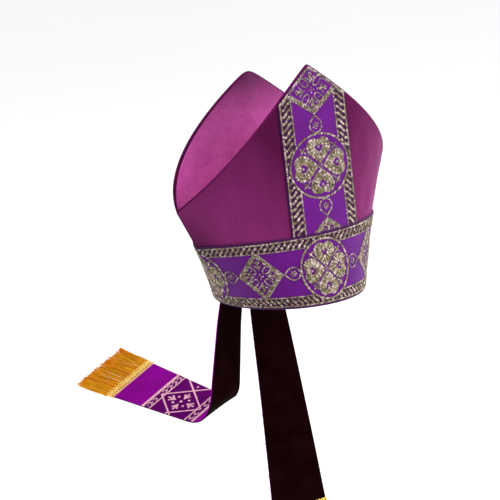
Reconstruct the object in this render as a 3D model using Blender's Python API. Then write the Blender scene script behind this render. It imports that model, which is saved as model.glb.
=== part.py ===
"""Bishop mitre, in metres, +Z up.

The origin is the middle of the head opening, level with the rim. The front faces -Y and the
wearer's right is -X. Two horned panels meet at the side seams. A gusset closes the space
between the horns, one galloon runs round the rim, one climbs each horn, and two fringed
lappets hang from the back of the rim.
"""
import math
from collections import namedtuple

import bmesh
import bpy
from mathutils import Vector

# Clearance between pieces that touch, and the cloth's thicknesses
GAP = 0.0003
PANEL_WALL = 0.0025
GALLOON_WALL = 0.0014
LINING_WALL = 0.0012
LAPPET_WALL = 0.0012

# Head opening, to the outer face of the cloth
RIM_HALF_WIDTH = 0.0855
RIM_FRONT_DEPTH = 0.104
RIM_BACK_DEPTH = 0.097

# Side corners, where the two horns part
CORNER_HEIGHT = 0.125
CORNER_HALF_WIDTH = 0.1445

# Horns: height above the rim, and the tip's distance from the plane of the side seams
FRONT_HORN_HEIGHT = 0.284
BACK_HORN_HEIGHT = 0.269
FRONT_TIP_DEPTH = 0.0885
BACK_TIP_DEPTH = 0.041
FRONT_TIP_RADIUS = 0.0015
BACK_TIP_RADIUS = 0.007

# Exponents of the horns' cut edge and of the crown's cross-section
EDGE_FULLNESS = 1.39
CROWN_FULLNESS = 3.0

# Gold-woven galloons
BAND_WIDTH = 0.087
ORPHREY_WIDTH = 0.095

# Gusset between the horns
GUSSET_REACH = 0.97
VALLEY_DROP = 0.012
VALLEY_END_DROP = 0.006
LEAF_SAG = 0.004

# Lappets
LAPPET_SPACING = 0.049
LAPPET_TOP_WIDTH = 0.042
LAPPET_END_WIDTH = 0.079
LAPPET_LENGTH = 0.314
LAPPET_SEAT = 0.014
LAPPET_FLATTENING = 0.05

# Fringes
HEADING_DEPTH = 0.010
HEADING_WALL = 0.0034
LOCK_LENGTH = 0.051
LOCK_WALL = 0.0026
LOCK_PITCH = 0.0066
LOCK_ROOT_GAP = 0.0006
LOCK_TIP_SHARE = 0.62
LOCK_TIP_WALL_SHARE = 0.6
LOCK_SWAY = 0.0007
FRINGE_SPREAD = 1.08

# Mesh fineness
PANEL_COLUMNS = 40
PANEL_ROWS = 7
BAND_ROWS = 3
ORPHREY_COLUMNS = 12
GUSSET_COLUMNS = 28
LEAF_ROWS = 5
LAPPET_COLUMNS = 4
LAPPET_ROWS = 36
LOCK_ROWS = 3
SEARCH_STEPS = 40
ARC_STEPS = 16

FRONT = -1
BACK = 1
RIGHT = -1
LEFT = 1

# How a lappet hangs: share is the share of its length below the rim, pitch the turn from
# straight down towards the back, tilt its outer edge's turn about its own length
Hang = namedtuple("Hang", "share pitch tilt")
SWEPT_BACK = (
    Hang(0.00, 8.0, 18.0),
    Hang(0.10, 2.0, 18.0),
    Hang(0.39, 2.0, 18.0),
    Hang(0.60, 103.5, 18.0),
    Hang(1.00, 103.5, 18.0),
)
STRAIGHT_DOWN = (
    Hang(0.00, 8.0, 18.0),
    Hang(0.12, 2.0, 16.0),
    Hang(0.60, 3.0, 10.0),
    Hang(1.00, 4.0, 8.0),
)
SWEPT_DRIFT = 12.5
STRAIGHT_DRIFT = 5.0

# One cross-section of a lappet: its middle, and unit vectors down its length, across it
# towards the wearer's left, and out of its decorated face
Station = namedtuple("Station", "middle along across outward")

Finish = namedtuple("Finish", "colour roughness metallic")
FINISHES = {
    "satin": Finish((0.17, 0.012, 0.09), 0.42, 0.0),
    "galloon": Finish((0.40, 0.27, 0.12), 0.38, 0.55),
    "lining": Finish((0.38, 0.05, 0.27), 0.55, 0.0),
    "lappet_face": Finish((0.20, 0.0, 0.26), 0.40, 0.0),
    "lappet_lining": Finish((0.12, 0.01, 0.04), 0.60, 0.0),
    "fringe": Finish((0.72, 0.36, 0.02), 0.35, 0.40),
}


def shares(first, last, count):
    """count + 1 values in even steps from first to last."""
    return [first + (last - first) * i / count for i in range(count + 1)]


def solve(rising, low, high):
    """The place between low and high where a rising function passes zero."""
    for _ in range(SEARCH_STEPS):
        middle = (low + high) / 2
        if rising(middle) < 0:
            low = middle
        else:
            high = middle
    return (low + high) / 2


def horn_height(side):
    return FRONT_HORN_HEIGHT if side == FRONT else BACK_HORN_HEIGHT


def side_seam_x(z):
    """Half-width of the mitre at the side seams, which run straight from rim to corner."""
    return RIM_HALF_WIDTH + (CORNER_HALF_WIDTH - RIM_HALF_WIDTH) * z / CORNER_HEIGHT


def outer_point(side, s, z):
    """Point of a panel's outer face. s runs from -1 to 1 between the side seams.

    Each line of constant s is straight, from the rim's half oval to a flatter arc at the
    height of the horn's tip.
    """
    rim_depth = RIM_FRONT_DEPTH if side == FRONT else RIM_BACK_DEPTH
    tip_depth = FRONT_TIP_DEPTH if side == FRONT else BACK_TIP_DEPTH
    rise = z / horn_height(side)
    angle = math.pi * s / 2
    rim_x = RIM_HALF_WIDTH * math.sin(angle)
    rim_y = rim_depth * math.cos(angle)
    crown_x = side_seam_x(horn_height(side)) * s
    crown_y = tip_depth * (1 - abs(s) ** CROWN_FULLNESS)
    x = rim_x + (crown_x - rim_x) * rise
    y = rim_y + (crown_y - rim_y) * rise
    return Vector((x, side * y, z))


def outward(side, s, z):
    """Level unit vector out of a panel's outer face."""
    step = 0.001
    along = outer_point(side, s + step, z) - outer_point(side, s - step, z)
    return Vector((-along.y, along.x, 0)).normalized() * side


def panel_point(side, s, z, depth):
    """Point at a depth inside a panel's outer face, or outside it where depth is negative."""
    return outer_point(side, s, z) - outward(side, s, z) * depth


def seam_share(side, z, depth):
    """The s at which a panel stops, half a gap short of the plane of the side seams."""
    return solve(lambda s: GAP / 2 - side * panel_point(side, s, z, depth).y, 0.5, 1.05)


def seamed_point(side, s, z, depth):
    """Point of a panel that stops at the side seams, or of what lies flat on it."""
    return panel_point(side, s * seam_share(side, z, max(depth, 0.0)), z, depth)


def edge_height(side, x):
    """Height of a horn's cut edge at a distance x from the middle."""
    radius = FRONT_TIP_RADIUS if side == FRONT else BACK_TIP_RADIUS
    reach = math.hypot(CORNER_HALF_WIDTH, radius)
    share = max(1 - math.hypot(x, radius) / reach, 0.0)
    rise = horn_height(side) - CORNER_HEIGHT
    return CORNER_HEIGHT + rise * share ** (1 / EDGE_FULLNESS)


def fibre_height(side, s):
    """Height at which the straight line of constant s meets the horn's cut edge."""
    return solve(
        lambda z: z - edge_height(side, outer_point(side, s, z).x),
        CORNER_HEIGHT / 2,
        horn_height(side) * 1.05,
    )


def band_top(side, s):
    """Height of the band's upper edge, whose width is measured along the panel."""
    rise = 0.001
    return BAND_WIDTH * rise / (outer_point(side, s, rise) - outer_point(side, s, 0)).length


def arc_length(side, s, z):
    """Length along the outer face from the middle of a panel to s, at one height."""
    points = [outer_point(side, t, z) for t in shares(0, s, ARC_STEPS)]
    return sum((b - a).length for a, b in zip(points, points[1:]))


def share_at_arc(side, arc, z):
    """The s that lies a signed length of arc from the middle of a panel."""
    found = solve(lambda s: arc_length(side, s, z) - abs(arc), 0.0, 1.0)
    return math.copysign(found, arc)


def add_material(piece, finish_name):
    finish = FINISHES[finish_name]
    material = bpy.data.materials.new(finish_name)
    material.use_nodes = True
    shader = material.node_tree.nodes["Principled BSDF"]
    shader.inputs["Base Color"].default_value = (*finish.colour, 1)
    shader.inputs["Roughness"].default_value = finish.roughness
    shader.inputs["Metallic"].default_value = finish.metallic
    piece.data.materials.append(material)


def add_piece(name, mesh_builder, finish_name):
    """Turn a filled bmesh into a named object with its material."""
    bmesh.ops.recalc_face_normals(mesh_builder, faces=mesh_builder.faces)
    mesh = bpy.data.meshes.new(name)
    mesh_builder.to_mesh(mesh)
    mesh_builder.free()
    piece = bpy.data.objects.new(name, mesh)
    bpy.context.collection.objects.link(piece)
    mesh.shade_smooth()
    mesh.set_sharp_from_angle(angle=math.radians(40))
    add_material(piece, finish_name)
    return piece


def add_cloth(name, face_rows, back_rows, finish_name, looped=False):
    """Closed wall of cloth between two grids of points of equal size."""
    builder = bmesh.new()
    face = [[builder.verts.new(point) for point in row] for row in face_rows]
    back = [[builder.verts.new(point) for point in row] for row in back_rows]
    last = len(face) - 1
    count = len(face[0])
    steps = count if looped else count - 1
    for i in range(last):
        for j in range(steps):
            k = (j + 1) % count
            builder.faces.new((face[i][j], face[i][k], face[i + 1][k], face[i + 1][j]))
            builder.faces.new((back[i][j], back[i + 1][j], back[i + 1][k], back[i][k]))
    for j in range(steps):
        k = (j + 1) % count
        builder.faces.new((face[0][k], face[0][j], back[0][j], back[0][k]))
        builder.faces.new((face[last][j], face[last][k], back[last][k], back[last][j]))
    if not looped:
        for i in range(last):
            builder.faces.new((face[i][0], face[i + 1][0], back[i + 1][0], back[i][0]))
            builder.faces.new((face[i + 1][-1], face[i][-1], back[i][-1], back[i + 1][-1]))
    return add_piece(name, builder, finish_name)


def add_panel(name, side):
    """A horned panel, whose columns follow the straight lines from rim to cut edge."""
    columns = shares(side, -side, PANEL_COLUMNS)
    tops = [fibre_height(side, s) for s in columns]
    rims = [band_top(side, s) for s in columns]
    rows = [[rim * share for rim in rims] for share in shares(0, 1, BAND_ROWS)]
    for share in shares(0, 1, PANEL_ROWS)[1:]:
        rows.append([rim + (top - rim) * share for rim, top in zip(rims, tops)])

    def layer(depth):
        return [[seamed_point(side, s, z, depth) for s, z in zip(columns, row)] for row in rows]

    return add_cloth(name, layer(0.0), layer(PANEL_WALL), "satin")


def band_loop(share, depth):
    """Loop round both panels at a share of the band's width, outside them by -depth."""
    front, back = (
        [
            seamed_point(side, s, band_top(side, s) * share, depth)
            for s in shares(side, -side, PANEL_COLUMNS)
        ]
        for side in (FRONT, BACK)
    )
    left_seam = (front[-1] + back[0]) / 2
    right_seam = (front[0] + back[-1]) / 2
    return [right_seam, *front[1:-1], left_seam, *back[1:-1]]


def add_band():
    """Galloon round the rim, laid on both panels."""
    outer = [band_loop(share, -GAP - GALLOON_WALL) for share in shares(0, 1, BAND_ROWS)]
    inner = [band_loop(share, -GAP) for share in shares(0, 1, BAND_ROWS)]
    return add_cloth("head_band", outer, inner, "galloon", looped=True)


def orphrey_top(side, arc):
    """Height at which a line parallel to the middle of a horn meets its cut edge."""
    def above_edge(z):
        return z - edge_height(side, outer_point(side, share_at_arc(side, arc, z), z).x)

    return solve(above_edge, CORNER_HEIGHT, horn_height(side))


def orphrey_foot(side, arc):
    """Height just above the band, at a distance from the middle of a panel."""
    return band_top(side, share_at_arc(side, arc, BAND_WIDTH)) + GAP


def add_orphrey(name, side):
    """Upright galloon, from the band to the horn's tip, trimmed along the cut edges."""
    arcs = shares(-ORPHREY_WIDTH / 2, ORPHREY_WIDTH / 2, ORPHREY_COLUMNS)
    ends = [(orphrey_foot(side, arc), orphrey_top(side, arc)) for arc in arcs]

    def layer(depth):
        rows = []
        for share in shares(0, 1, PANEL_ROWS):
            heights = [foot + (top - foot) * share for foot, top in ends]
            rows.append([
                panel_point(side, share_at_arc(side, arc, z), z, depth)
                for arc, z in zip(arcs, heights)
            ])
        return rows

    return add_cloth(name, layer(-GAP - GALLOON_WALL), layer(-GAP), "galloon")


def grid_normal(rows, i, j):
    """Unit normal of a grid of points, from each point's neighbours."""
    across = rows[i][min(j + 1, len(rows[i]) - 1)] - rows[i][max(j - 1, 0)]
    along = rows[min(i + 1, len(rows) - 1)][j] - rows[max(i - 1, 0)][j]
    return across.cross(along).normalized()


def leaf_edge(side, s):
    """Where the gusset is sewn, just inside a horn's cut edge."""
    depth = PANEL_WALL + GAP + LINING_WALL
    z = fibre_height(side, s)
    return seamed_point(side, s, z, depth)


def valley_point(s):
    """Bottom of the fold between the horns, which runs from corner to corner."""
    drop = VALLEY_DROP + (VALLEY_END_DROP - VALLEY_DROP) * s * s
    z = CORNER_HEIGHT - drop
    reach = side_seam_x(z) - 2 * (PANEL_WALL + GAP)
    return Vector((s * reach, 0, z))


def add_gusset():
    """Folding cloth between the horns: two leaves that meet in a valley."""
    columns = shares(-GUSSET_REACH, GUSSET_REACH, GUSSET_COLUMNS)
    rows = []
    for side, steps in ((FRONT, shares(0, 1, LEAF_ROWS)), (BACK, shares(1, 0, LEAF_ROWS)[1:])):
        for step in steps:
            sag = Vector((0, 0, -LEAF_SAG * math.sin(math.pi * step)))
            rows.append([leaf_edge(side, s).lerp(valley_point(s), step) + sag for s in columns])
    under = [
        [point - grid_normal(rows, i, j) * LINING_WALL for j, point in enumerate(row)]
        for i, row in enumerate(rows)
    ]
    return add_cloth("crown_gusset", rows, under, "lining")


def hang_at(hangs, share):
    """Pitch and tilt at a share of the lappet's length, eased between the table's rows."""
    if share >= hangs[-1].share:
        return hangs[-1].pitch, hangs[-1].tilt
    for upper, lower in zip(hangs, hangs[1:]):
        if share <= lower.share:
            t = (share - upper.share) / (lower.share - upper.share)
            eased = t * t * (3 - 2 * t)
            pitch = upper.pitch + (lower.pitch - upper.pitch) * eased
            return pitch, upper.tilt + (lower.tilt - upper.tilt) * eased


def station_vectors(hangs, hand, drift, share):
    """Unit vectors along, across and out of a lappet at a share of its length."""
    pitch, tilt = (math.radians(angle) for angle in hang_at(hangs, share))
    drift = math.radians(drift) * hand
    tilt = -tilt * hand
    down = Vector((0, math.sin(pitch), -math.cos(pitch)))
    level = Vector((1, 0, 0))
    out = Vector((0, math.cos(pitch), math.sin(pitch)))
    across = level * math.cos(tilt) + out * math.sin(tilt)
    outward_face = out * math.cos(tilt) - level * math.sin(tilt)
    along = down * math.cos(drift) + across * math.sin(drift)
    return along, across * math.cos(drift) - down * math.sin(drift), outward_face


def lappet_stations(hangs, hand, drift, lengths):
    """Cross-sections of a lappet at rising lengths below the rim, the first at the rim."""
    seat = panel_point(BACK, seat_share(hand), 0, PANEL_WALL + GAP)
    step = lengths[1] - lengths[0]
    middle = seat.copy()
    stations = []
    for length in lengths:
        along, across, out = station_vectors(hangs, hand, drift, length / LAPPET_LENGTH)
        if stations:
            middle = middle + (along + stations[-1].along).normalized() * step
        stations.append(Station(middle, along, across, out))
    return stations


def seat_share(hand):
    """The s of a lappet's middle on the back panel at the rim."""
    return share_at_arc(BACK, hand * LAPPET_SPACING / 2, 0)


def lappet_width(share):
    return LAPPET_TOP_WIDTH + (LAPPET_END_WIDTH - LAPPET_TOP_WIDTH) * share


def seated_row(hand, z, depth):
    """Top of a lappet, which lies against the inner face of the back panel."""
    middle = hand * LAPPET_SPACING / 2
    half = LAPPET_TOP_WIDTH / 2
    return [
        panel_point(BACK, share_at_arc(BACK, arc, z), z, PANEL_WALL + GAP + depth)
        for arc in shares(middle - half, middle + half, LAPPET_COLUMNS)
    ]


def hanging_row(rim_row, first, station, length, depth):
    """A row below the rim: the rim's curve, which flattens out with the length."""
    widening = lappet_width(length / LAPPET_LENGTH) / LAPPET_TOP_WIDTH
    curve = max(1 - length / LAPPET_FLATTENING, 0.0)
    row = []
    for point in rim_row:
        offset = point - first.middle
        x = offset.dot(first.across) * widening
        bow = offset.dot(first.outward) * curve
        row.append(station.middle + station.across * x + station.outward * (bow - depth))
    return row


def lappet_layer(hangs, hand, drift, depth):
    """Rows of one face of a lappet, from its seat inside the rim to its end."""
    lengths = shares(0, LAPPET_LENGTH, LAPPET_ROWS)
    stations = lappet_stations(hangs, hand, drift, lengths)
    rim_row = seated_row(hand, 0, 0)
    rows = [seated_row(hand, LAPPET_SEAT, depth), seated_row(hand, 0, depth)]
    for station, length in list(zip(stations, lengths))[1:]:
        rows.append(hanging_row(rim_row, stations[0], station, length, depth))
    return rows


def add_lappet(prefix, hangs, hand, drift):
    """Decorated face of a lappet, and the lining behind it."""
    for part, depth in (("face", 0.0), ("lining", LAPPET_WALL + GAP)):
        outer = lappet_layer(hangs, hand, drift, depth)
        inner = lappet_layer(hangs, hand, drift, depth + LAPPET_WALL)
        add_cloth(f"{prefix}_lappet_{part}", outer, inner, f"lappet_{part}")


def lock_edges(width):
    """Left and right edge of each lock across a heading."""
    count = round(LAPPET_END_WIDTH / LOCK_PITCH)
    pitch = width / count
    edges = []
    for i in range(count):
        start = -width / 2 + i * pitch
        left = start if i == 0 else start + LOCK_ROOT_GAP / 2
        right = start + pitch if i == count - 1 else start + pitch - LOCK_ROOT_GAP / 2
        edges.append((left, right))
    return edges


def add_fringe(prefix, hangs, hand, drift):
    """Heading across the lappet's end, with the fringe's locks fused to it."""
    start = LAPPET_LENGTH + GAP
    lengths = shares(0, LAPPET_LENGTH, LAPPET_ROWS)
    end = lappet_stations(hangs, hand, drift, lengths)[-1]
    mid_depth = LAPPET_WALL + GAP / 2
    builder = bmesh.new()

    def place(x, below, depth):
        spread = 1 + (FRINGE_SPREAD - 1) * below / (HEADING_DEPTH + LOCK_LENGTH)
        along = end.along * (start - LAPPET_LENGTH + below)
        offset = end.across * (x * spread) - end.outward * (mid_depth + depth)
        return builder.verts.new(end.middle + along + offset)

    edges = lock_edges(LAPPET_END_WIDTH)
    flat = [x for pair in edges for x in pair]
    top = [(place(x, 0, -HEADING_WALL / 2), place(x, 0, HEADING_WALL / 2)) for x in flat]
    root = [
        (place(x, HEADING_DEPTH, -LOCK_WALL / 2), place(x, HEADING_DEPTH, LOCK_WALL / 2))
        for x in flat
    ]
    for j in range(len(flat) - 1):
        builder.faces.new((top[j][0], top[j + 1][0], root[j + 1][0], root[j][0]))
        builder.faces.new((top[j][1], root[j][1], root[j + 1][1], top[j + 1][1]))
        builder.faces.new((top[j][0], top[j][1], top[j + 1][1], top[j + 1][0]))
        if j % 2 == 1:
            builder.faces.new((root[j][0], root[j + 1][0], root[j + 1][1], root[j][1]))
    builder.faces.new((top[0][0], root[0][0], root[0][1], top[0][1]))
    builder.faces.new((top[-1][0], top[-1][1], root[-1][1], root[-1][0]))

    for i, (left, right) in enumerate(edges):
        above = (root[2 * i], root[2 * i + 1])
        sway = LOCK_SWAY if i % 2 else -LOCK_SWAY
        for share in shares(0, 1, LOCK_ROWS)[1:]:
            middle = (left + right) / 2
            half = (right - left) / 2 * (1 - (1 - LOCK_TIP_SHARE) * share)
            wall = LOCK_WALL / 2 * (1 - (1 - LOCK_TIP_WALL_SHARE) * share)
            below = HEADING_DEPTH + LOCK_LENGTH * share
            row = tuple(
                (place(x, below, sway * share - wall), place(x, below, sway * share + wall))
                for x in (middle - half, middle + half)
            )
            builder.faces.new((above[0][0], above[1][0], row[1][0], row[0][0]))
            builder.faces.new((above[0][1], row[0][1], row[1][1], above[1][1]))
            builder.faces.new((above[0][0], row[0][0], row[0][1], above[0][1]))
            builder.faces.new((above[1][0], above[1][1], row[1][1], row[1][0]))
            above = row
        builder.faces.new((above[0][0], above[1][0], above[1][1], above[0][1]))
    return add_piece(f"{prefix}_fringe", builder, "fringe")


def clear_scene():
    for piece in list(bpy.data.objects):
        bpy.data.objects.remove(piece)


def build():
    clear_scene()
    add_panel("front_panel", FRONT)
    add_panel("back_panel", BACK)
    add_gusset()
    add_band()
    add_orphrey("front_orphrey", FRONT)
    add_orphrey("back_orphrey", BACK)
    for prefix, hangs, hand, drift in (
        ("right", SWEPT_BACK, RIGHT, SWEPT_DRIFT),
        ("left", STRAIGHT_DOWN, LEFT, STRAIGHT_DRIFT),
    ):
        add_lappet(prefix, hangs, hand, drift)
        add_fringe(prefix, hangs, hand, drift)


build()
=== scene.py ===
"""Bishop mitre: satin horns, gold-woven galloons, folding gusset and two fringed lappets."""
import math
from collections import namedtuple
from contextlib import contextmanager

import bpy
import numpy as np
from bpy.props import FloatProperty, FloatVectorProperty, IntProperty, PointerProperty
from mathutils import Matrix, Vector


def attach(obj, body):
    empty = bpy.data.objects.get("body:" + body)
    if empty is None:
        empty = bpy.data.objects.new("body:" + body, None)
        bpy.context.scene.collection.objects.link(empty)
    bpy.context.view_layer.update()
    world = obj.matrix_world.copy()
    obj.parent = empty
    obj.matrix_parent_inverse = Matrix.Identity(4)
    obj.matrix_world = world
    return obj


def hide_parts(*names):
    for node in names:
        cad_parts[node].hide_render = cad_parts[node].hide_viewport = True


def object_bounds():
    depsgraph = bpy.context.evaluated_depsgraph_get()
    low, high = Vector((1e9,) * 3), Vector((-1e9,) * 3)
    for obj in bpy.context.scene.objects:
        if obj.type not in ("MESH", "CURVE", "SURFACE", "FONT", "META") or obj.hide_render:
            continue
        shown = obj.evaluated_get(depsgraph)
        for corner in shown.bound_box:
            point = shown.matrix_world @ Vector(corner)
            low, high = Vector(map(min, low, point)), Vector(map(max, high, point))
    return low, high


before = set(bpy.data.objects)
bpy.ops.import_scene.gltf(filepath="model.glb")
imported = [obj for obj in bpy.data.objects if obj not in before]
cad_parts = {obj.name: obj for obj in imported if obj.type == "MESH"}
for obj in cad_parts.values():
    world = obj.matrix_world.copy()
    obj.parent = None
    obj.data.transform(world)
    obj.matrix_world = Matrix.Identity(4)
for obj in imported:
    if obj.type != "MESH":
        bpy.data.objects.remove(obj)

bl_info = {
    "name": "Bishop Mitre",
    "version": (1, 0, 0),
    "blender": (4, 5, 0),
    "location": "View3D > Sidebar > Mitre",
    "description": "Dresses the mitre's frame in satin, gold galloon, lappets and fringe",
    "category": "Add Mesh",
}

CAD_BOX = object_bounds()
FRONT = -1
BACK = 1
RIGHT = -1
LEFT = 1
SIDES = {FRONT: "front", BACK: "back"}
HANDS = {RIGHT: "right", LEFT: "left"}
BAND_STEPS = 240

# Distances between satin stitches, from close to open
CLOSE = 0.0010
EVEN = 0.0011
BOLD = 0.00115
FULL = 0.00122
OPEN = 0.0013

# A rope's stitches: their pace and size as shares of its thickness, and their slant
ROPE_PACE = 0.80
ROPE_LENGTH = 1.55
ROPE_WIDTH = 0.72
ROPE_HEIGHT = 0.62
ROPE_SLANT = math.radians(38)

# A teardrop is drawn shorter than its room, and starts this far from its ring
DROP_SHORTENING = 0.0022
DROP_GAP = 0.0016

# Unevenness of sewn stitches, and how deep they sit, as a share of their height
HEADING_SPREAD = 0.07
LENGTH_RANGE = (0.92, 1.08)
HEIGHT_RANGE = (0.85, 1.15)
STITCH_LIFT = 0.22

# A cord's lumps follow each other at this turn of a sine for each point of its path
LUMP_TURN = 2.2

# Seeds for the small unevenness of the stitches and strands; all seam stitches share one
SEEDS = {
    "band_braid": 11,
    "band_figures": 12,
    "front_orphrey_braid": 21,
    "front_orphrey_figures": 22,
    "back_orphrey_braid": 31,
    "back_orphrey_figures": 32,
    "right_lappet_figures": 41,
    "left_lappet_figures": 51,
    "right_fringe_strands": 61,
    "left_fringe_strands": 71,
    "right_heading_front": 81,
    "right_heading_back": 82,
    "right_heading_edge": 83,
    "left_heading_front": 91,
    "left_heading_back": 92,
    "left_heading_edge": 93,
}
SEAM_SEED = 5

# How a lappet hangs: share of its length below the rim, turn from straight down towards the
# back, and its outer edge's turn about its own length, in degrees
Hang = namedtuple("Hang", "share pitch tilt")
SWEPT_BACK = (
    Hang(0.00, 8.0, 18.0),
    Hang(0.10, 2.0, 18.0),
    Hang(0.39, 2.0, 18.0),
    Hang(0.60, 103.5, 18.0),
    Hang(1.00, 103.5, 18.0),
)
STRAIGHT_DOWN = (
    Hang(0.00, 8.0, 18.0),
    Hang(0.12, 2.0, 16.0),
    Hang(0.60, 3.0, 10.0),
    Hang(1.00, 4.0, 8.0),
)
HANGS = {RIGHT: SWEPT_BACK, LEFT: STRAIGHT_DOWN}


def size(name, description, default):
    """A length that a user may change."""
    return FloatProperty(
        name=name, description=description, default=default, unit="LENGTH", precision=4
    )


def turn(name, description, degrees):
    """An angle that a user may change."""
    return FloatProperty(
        name=name, description=description, default=math.radians(degrees), subtype="ANGLE"
    )


def ratio(name, description, default):
    """A plain number that a user may change."""
    return FloatProperty(name=name, description=description, default=default)


def colour(name, description, *sRGB):
    """A colour that a user may change, given as 0 to 255 and kept as linear light."""
    linear = [(level / 255) ** 2.2 for level in sRGB]
    return FloatVectorProperty(
        name=name, description=description, default=linear, subtype="COLOR", min=0, max=1
    )


class MitreShape(bpy.types.PropertyGroup):
    """Sizes of the mitre's crown, as its frame has them."""

    gap: size("Clearance", "Space between pieces that touch", 0.0003)
    panel_wall: size("Panel wall", "Thickness of a stiffened satin panel", 0.0025)
    galloon_wall: size("Galloon wall", "Thickness of a galloon", 0.0014)
    lining_wall: size("Lining wall", "Thickness of the gusset's cloth", 0.0012)
    rim_half_width: size("Rim half width", "Half of the head opening's width", 0.0855)
    rim_front_depth: size("Rim front depth", "Rim's reach to the front", 0.104)
    rim_back_depth: size("Rim back depth", "Rim's reach to the back", 0.097)
    corner_height: size("Corner height", "Height at which the horns part", 0.125)
    corner_half_width: size("Corner half width", "Half of the width at the corners", 0.1445)
    front_horn: size("Front horn", "Height of the front horn's tip", 0.284)
    back_horn: size("Back horn", "Height of the back horn's tip", 0.269)
    front_tip_depth: size("Front tip depth", "Front tip's distance from the seams", 0.0885)
    back_tip_depth: size("Back tip depth", "Back tip's distance from the seams", 0.041)
    front_tip_radius: size("Front tip radius", "Rounding of the front tip", 0.0015)
    back_tip_radius: size("Back tip radius", "Rounding of the back tip", 0.007)
    edge_fullness: ratio("Edge fullness", "How far a horn's cut edge bulges", 1.39)
    crown_fullness: ratio("Crown fullness", "How square the crown is seen from above", 3.0)
    gusset_reach: ratio("Gusset reach", "Share of the width that the gusset takes", 0.985)
    valley_drop: size("Valley drop", "Depth of the fold at its middle", 0.012)
    valley_end_drop: size("Valley end drop", "Depth of the fold at its ends", 0.006)
    leaf_sag: size("Leaf sag", "Sag of a gusset leaf", 0.004)
    piping_radius: size("Edge roll", "Radius of the rolled edge of a horn", 0.00145)
    welt_radius: size("Seam welt", "Radius of the rolled welt on a side seam", 0.0009)


class GalloonPattern(bpy.types.PropertyGroup):
    """Sizes of the galloons and of their gold figures."""

    band_width: size("Band width", "Width of the galloon round the rim", 0.087)
    orphrey_width: size("Orphrey width", "Width of the upright galloons", 0.095)
    ring_radius: size("Ring radius", "Radius of a roundel's rope ring", 0.0362)
    band_ring_along: size("Band ring", "Half of a band roundel's length", 0.0316)
    band_ring_middle: size("Front roundel", "Its middle beside the front's middle", -0.0100)
    petal_foot: size("Petal foot", "Where a petal starts, from the middle", 0.0030)
    petal_head: size("Petal head", "Where a petal ends, from the middle", 0.0333)
    petal_half_width: size("Petal half width", "Half of a petal's width", 0.0153)
    diamond_along: size("Diamond half length", "Half diagonal along the galloon", 0.0284)
    diamond_across: size("Diamond half width", "Half diagonal across the galloon", 0.0322)
    lozenge_width: size("Lozenge width", "Width of a diamond's woven line", 0.0046)
    band_drop: size("Band drop", "Length of a teardrop of the band", 0.0208)
    orphrey_drop: size("Orphrey drop", "Length of a teardrop of an orphrey", 0.0224)
    orphrey_along: ratio("Orphrey along", "Length of an orphrey's figures", 1.045)
    orphrey_across: ratio("Orphrey across", "Width of an orphrey's figures", 1.130)
    band_selvage: size("Band selvage", "Plain edge of the band", 0.0036)
    band_braid: size("Band border", "Width of the band's twisted border", 0.0108)
    band_pitch: size("Band pitch", "Between strokes of the band's border", 0.0066)
    orphrey_selvage: size("Orphrey selvage", "Plain edge of an orphrey", 0.0024)
    orphrey_braid: size("Orphrey border", "Width of an orphrey's twisted border", 0.0147)
    orphrey_pitch: size("Orphrey pitch", "Between strokes of an orphrey's border", 0.0076)
    stroke_width: size("Stroke width", "Thickness of a stroke of the border", 0.0034)
    rope: size("Rope", "Thickness of a rope line", 0.0017)
    ring_rope: size("Ring rope", "Thickness of a roundel's ring", 0.0026)


class LappetShape(bpy.types.PropertyGroup):
    """Sizes of the two lappets, their figures and their fringes."""

    wall: size("Wall", "Thickness of each of a lappet's two cloths", 0.0012)
    spacing: size("Spacing", "Between the lappets' middles at the rim", 0.049)
    top_width: size("Top width", "Width at the rim", 0.042)
    end_width: size("End width", "Width at the fringe", 0.079)
    length: size("Length", "From the rim to the fringe", 0.314)
    seat: size("Seat", "Length sewn inside the rim", 0.014)
    flattening: size("Flattening", "Length in which the rim's curve fades", 0.05)
    right_drift: turn("Right drift", "Right lappet's turn in its own plane", 12.5)
    left_drift: turn("Left drift", "Left lappet's turn in its own plane", 5.0)
    figure_rise: size("Figure rise", "From the fringe to the figure's middle", 0.0955)
    figure_shift: size("Figure shift", "Figure's middle beside the cloth's", 0.0060)
    bar_reach: size("Bar reach", "From the figure's middle to its bars", 0.0410)
    bar_width: size("Bar width", "Width of a solid bar", 0.0050)
    line_reach: size("Line reach", "From the figure's middle to its thin lines", 0.0295)
    line_width: size("Line width", "Width of a thin line", 0.0023)
    lattice_along: size("Lattice half length", "Half diagonal along the lappet", 0.0345)
    lattice_across: size("Lattice half width", "Half diagonal across the lappet", 0.0237)
    heading_depth: size("Heading depth", "Braided heading below the cloth's end", 0.010)
    heading_lap: size("Heading lap", "Braided heading sewn over the cloth", 0.005)
    strand_length: size("Strand length", "From the heading to the fringe's end", 0.051)
    strand_radius: size("Strand radius", "Radius of one ply of a strand", 0.00050)
    strands: IntProperty(name="Strands", description="Strands across a fringe", default=92)
    strand_turns: ratio("Strand turns", "Turns of a strand's twist", 4.5)
    spread: ratio("Spread", "How much the fringe widens to its end", 1.08)


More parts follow.
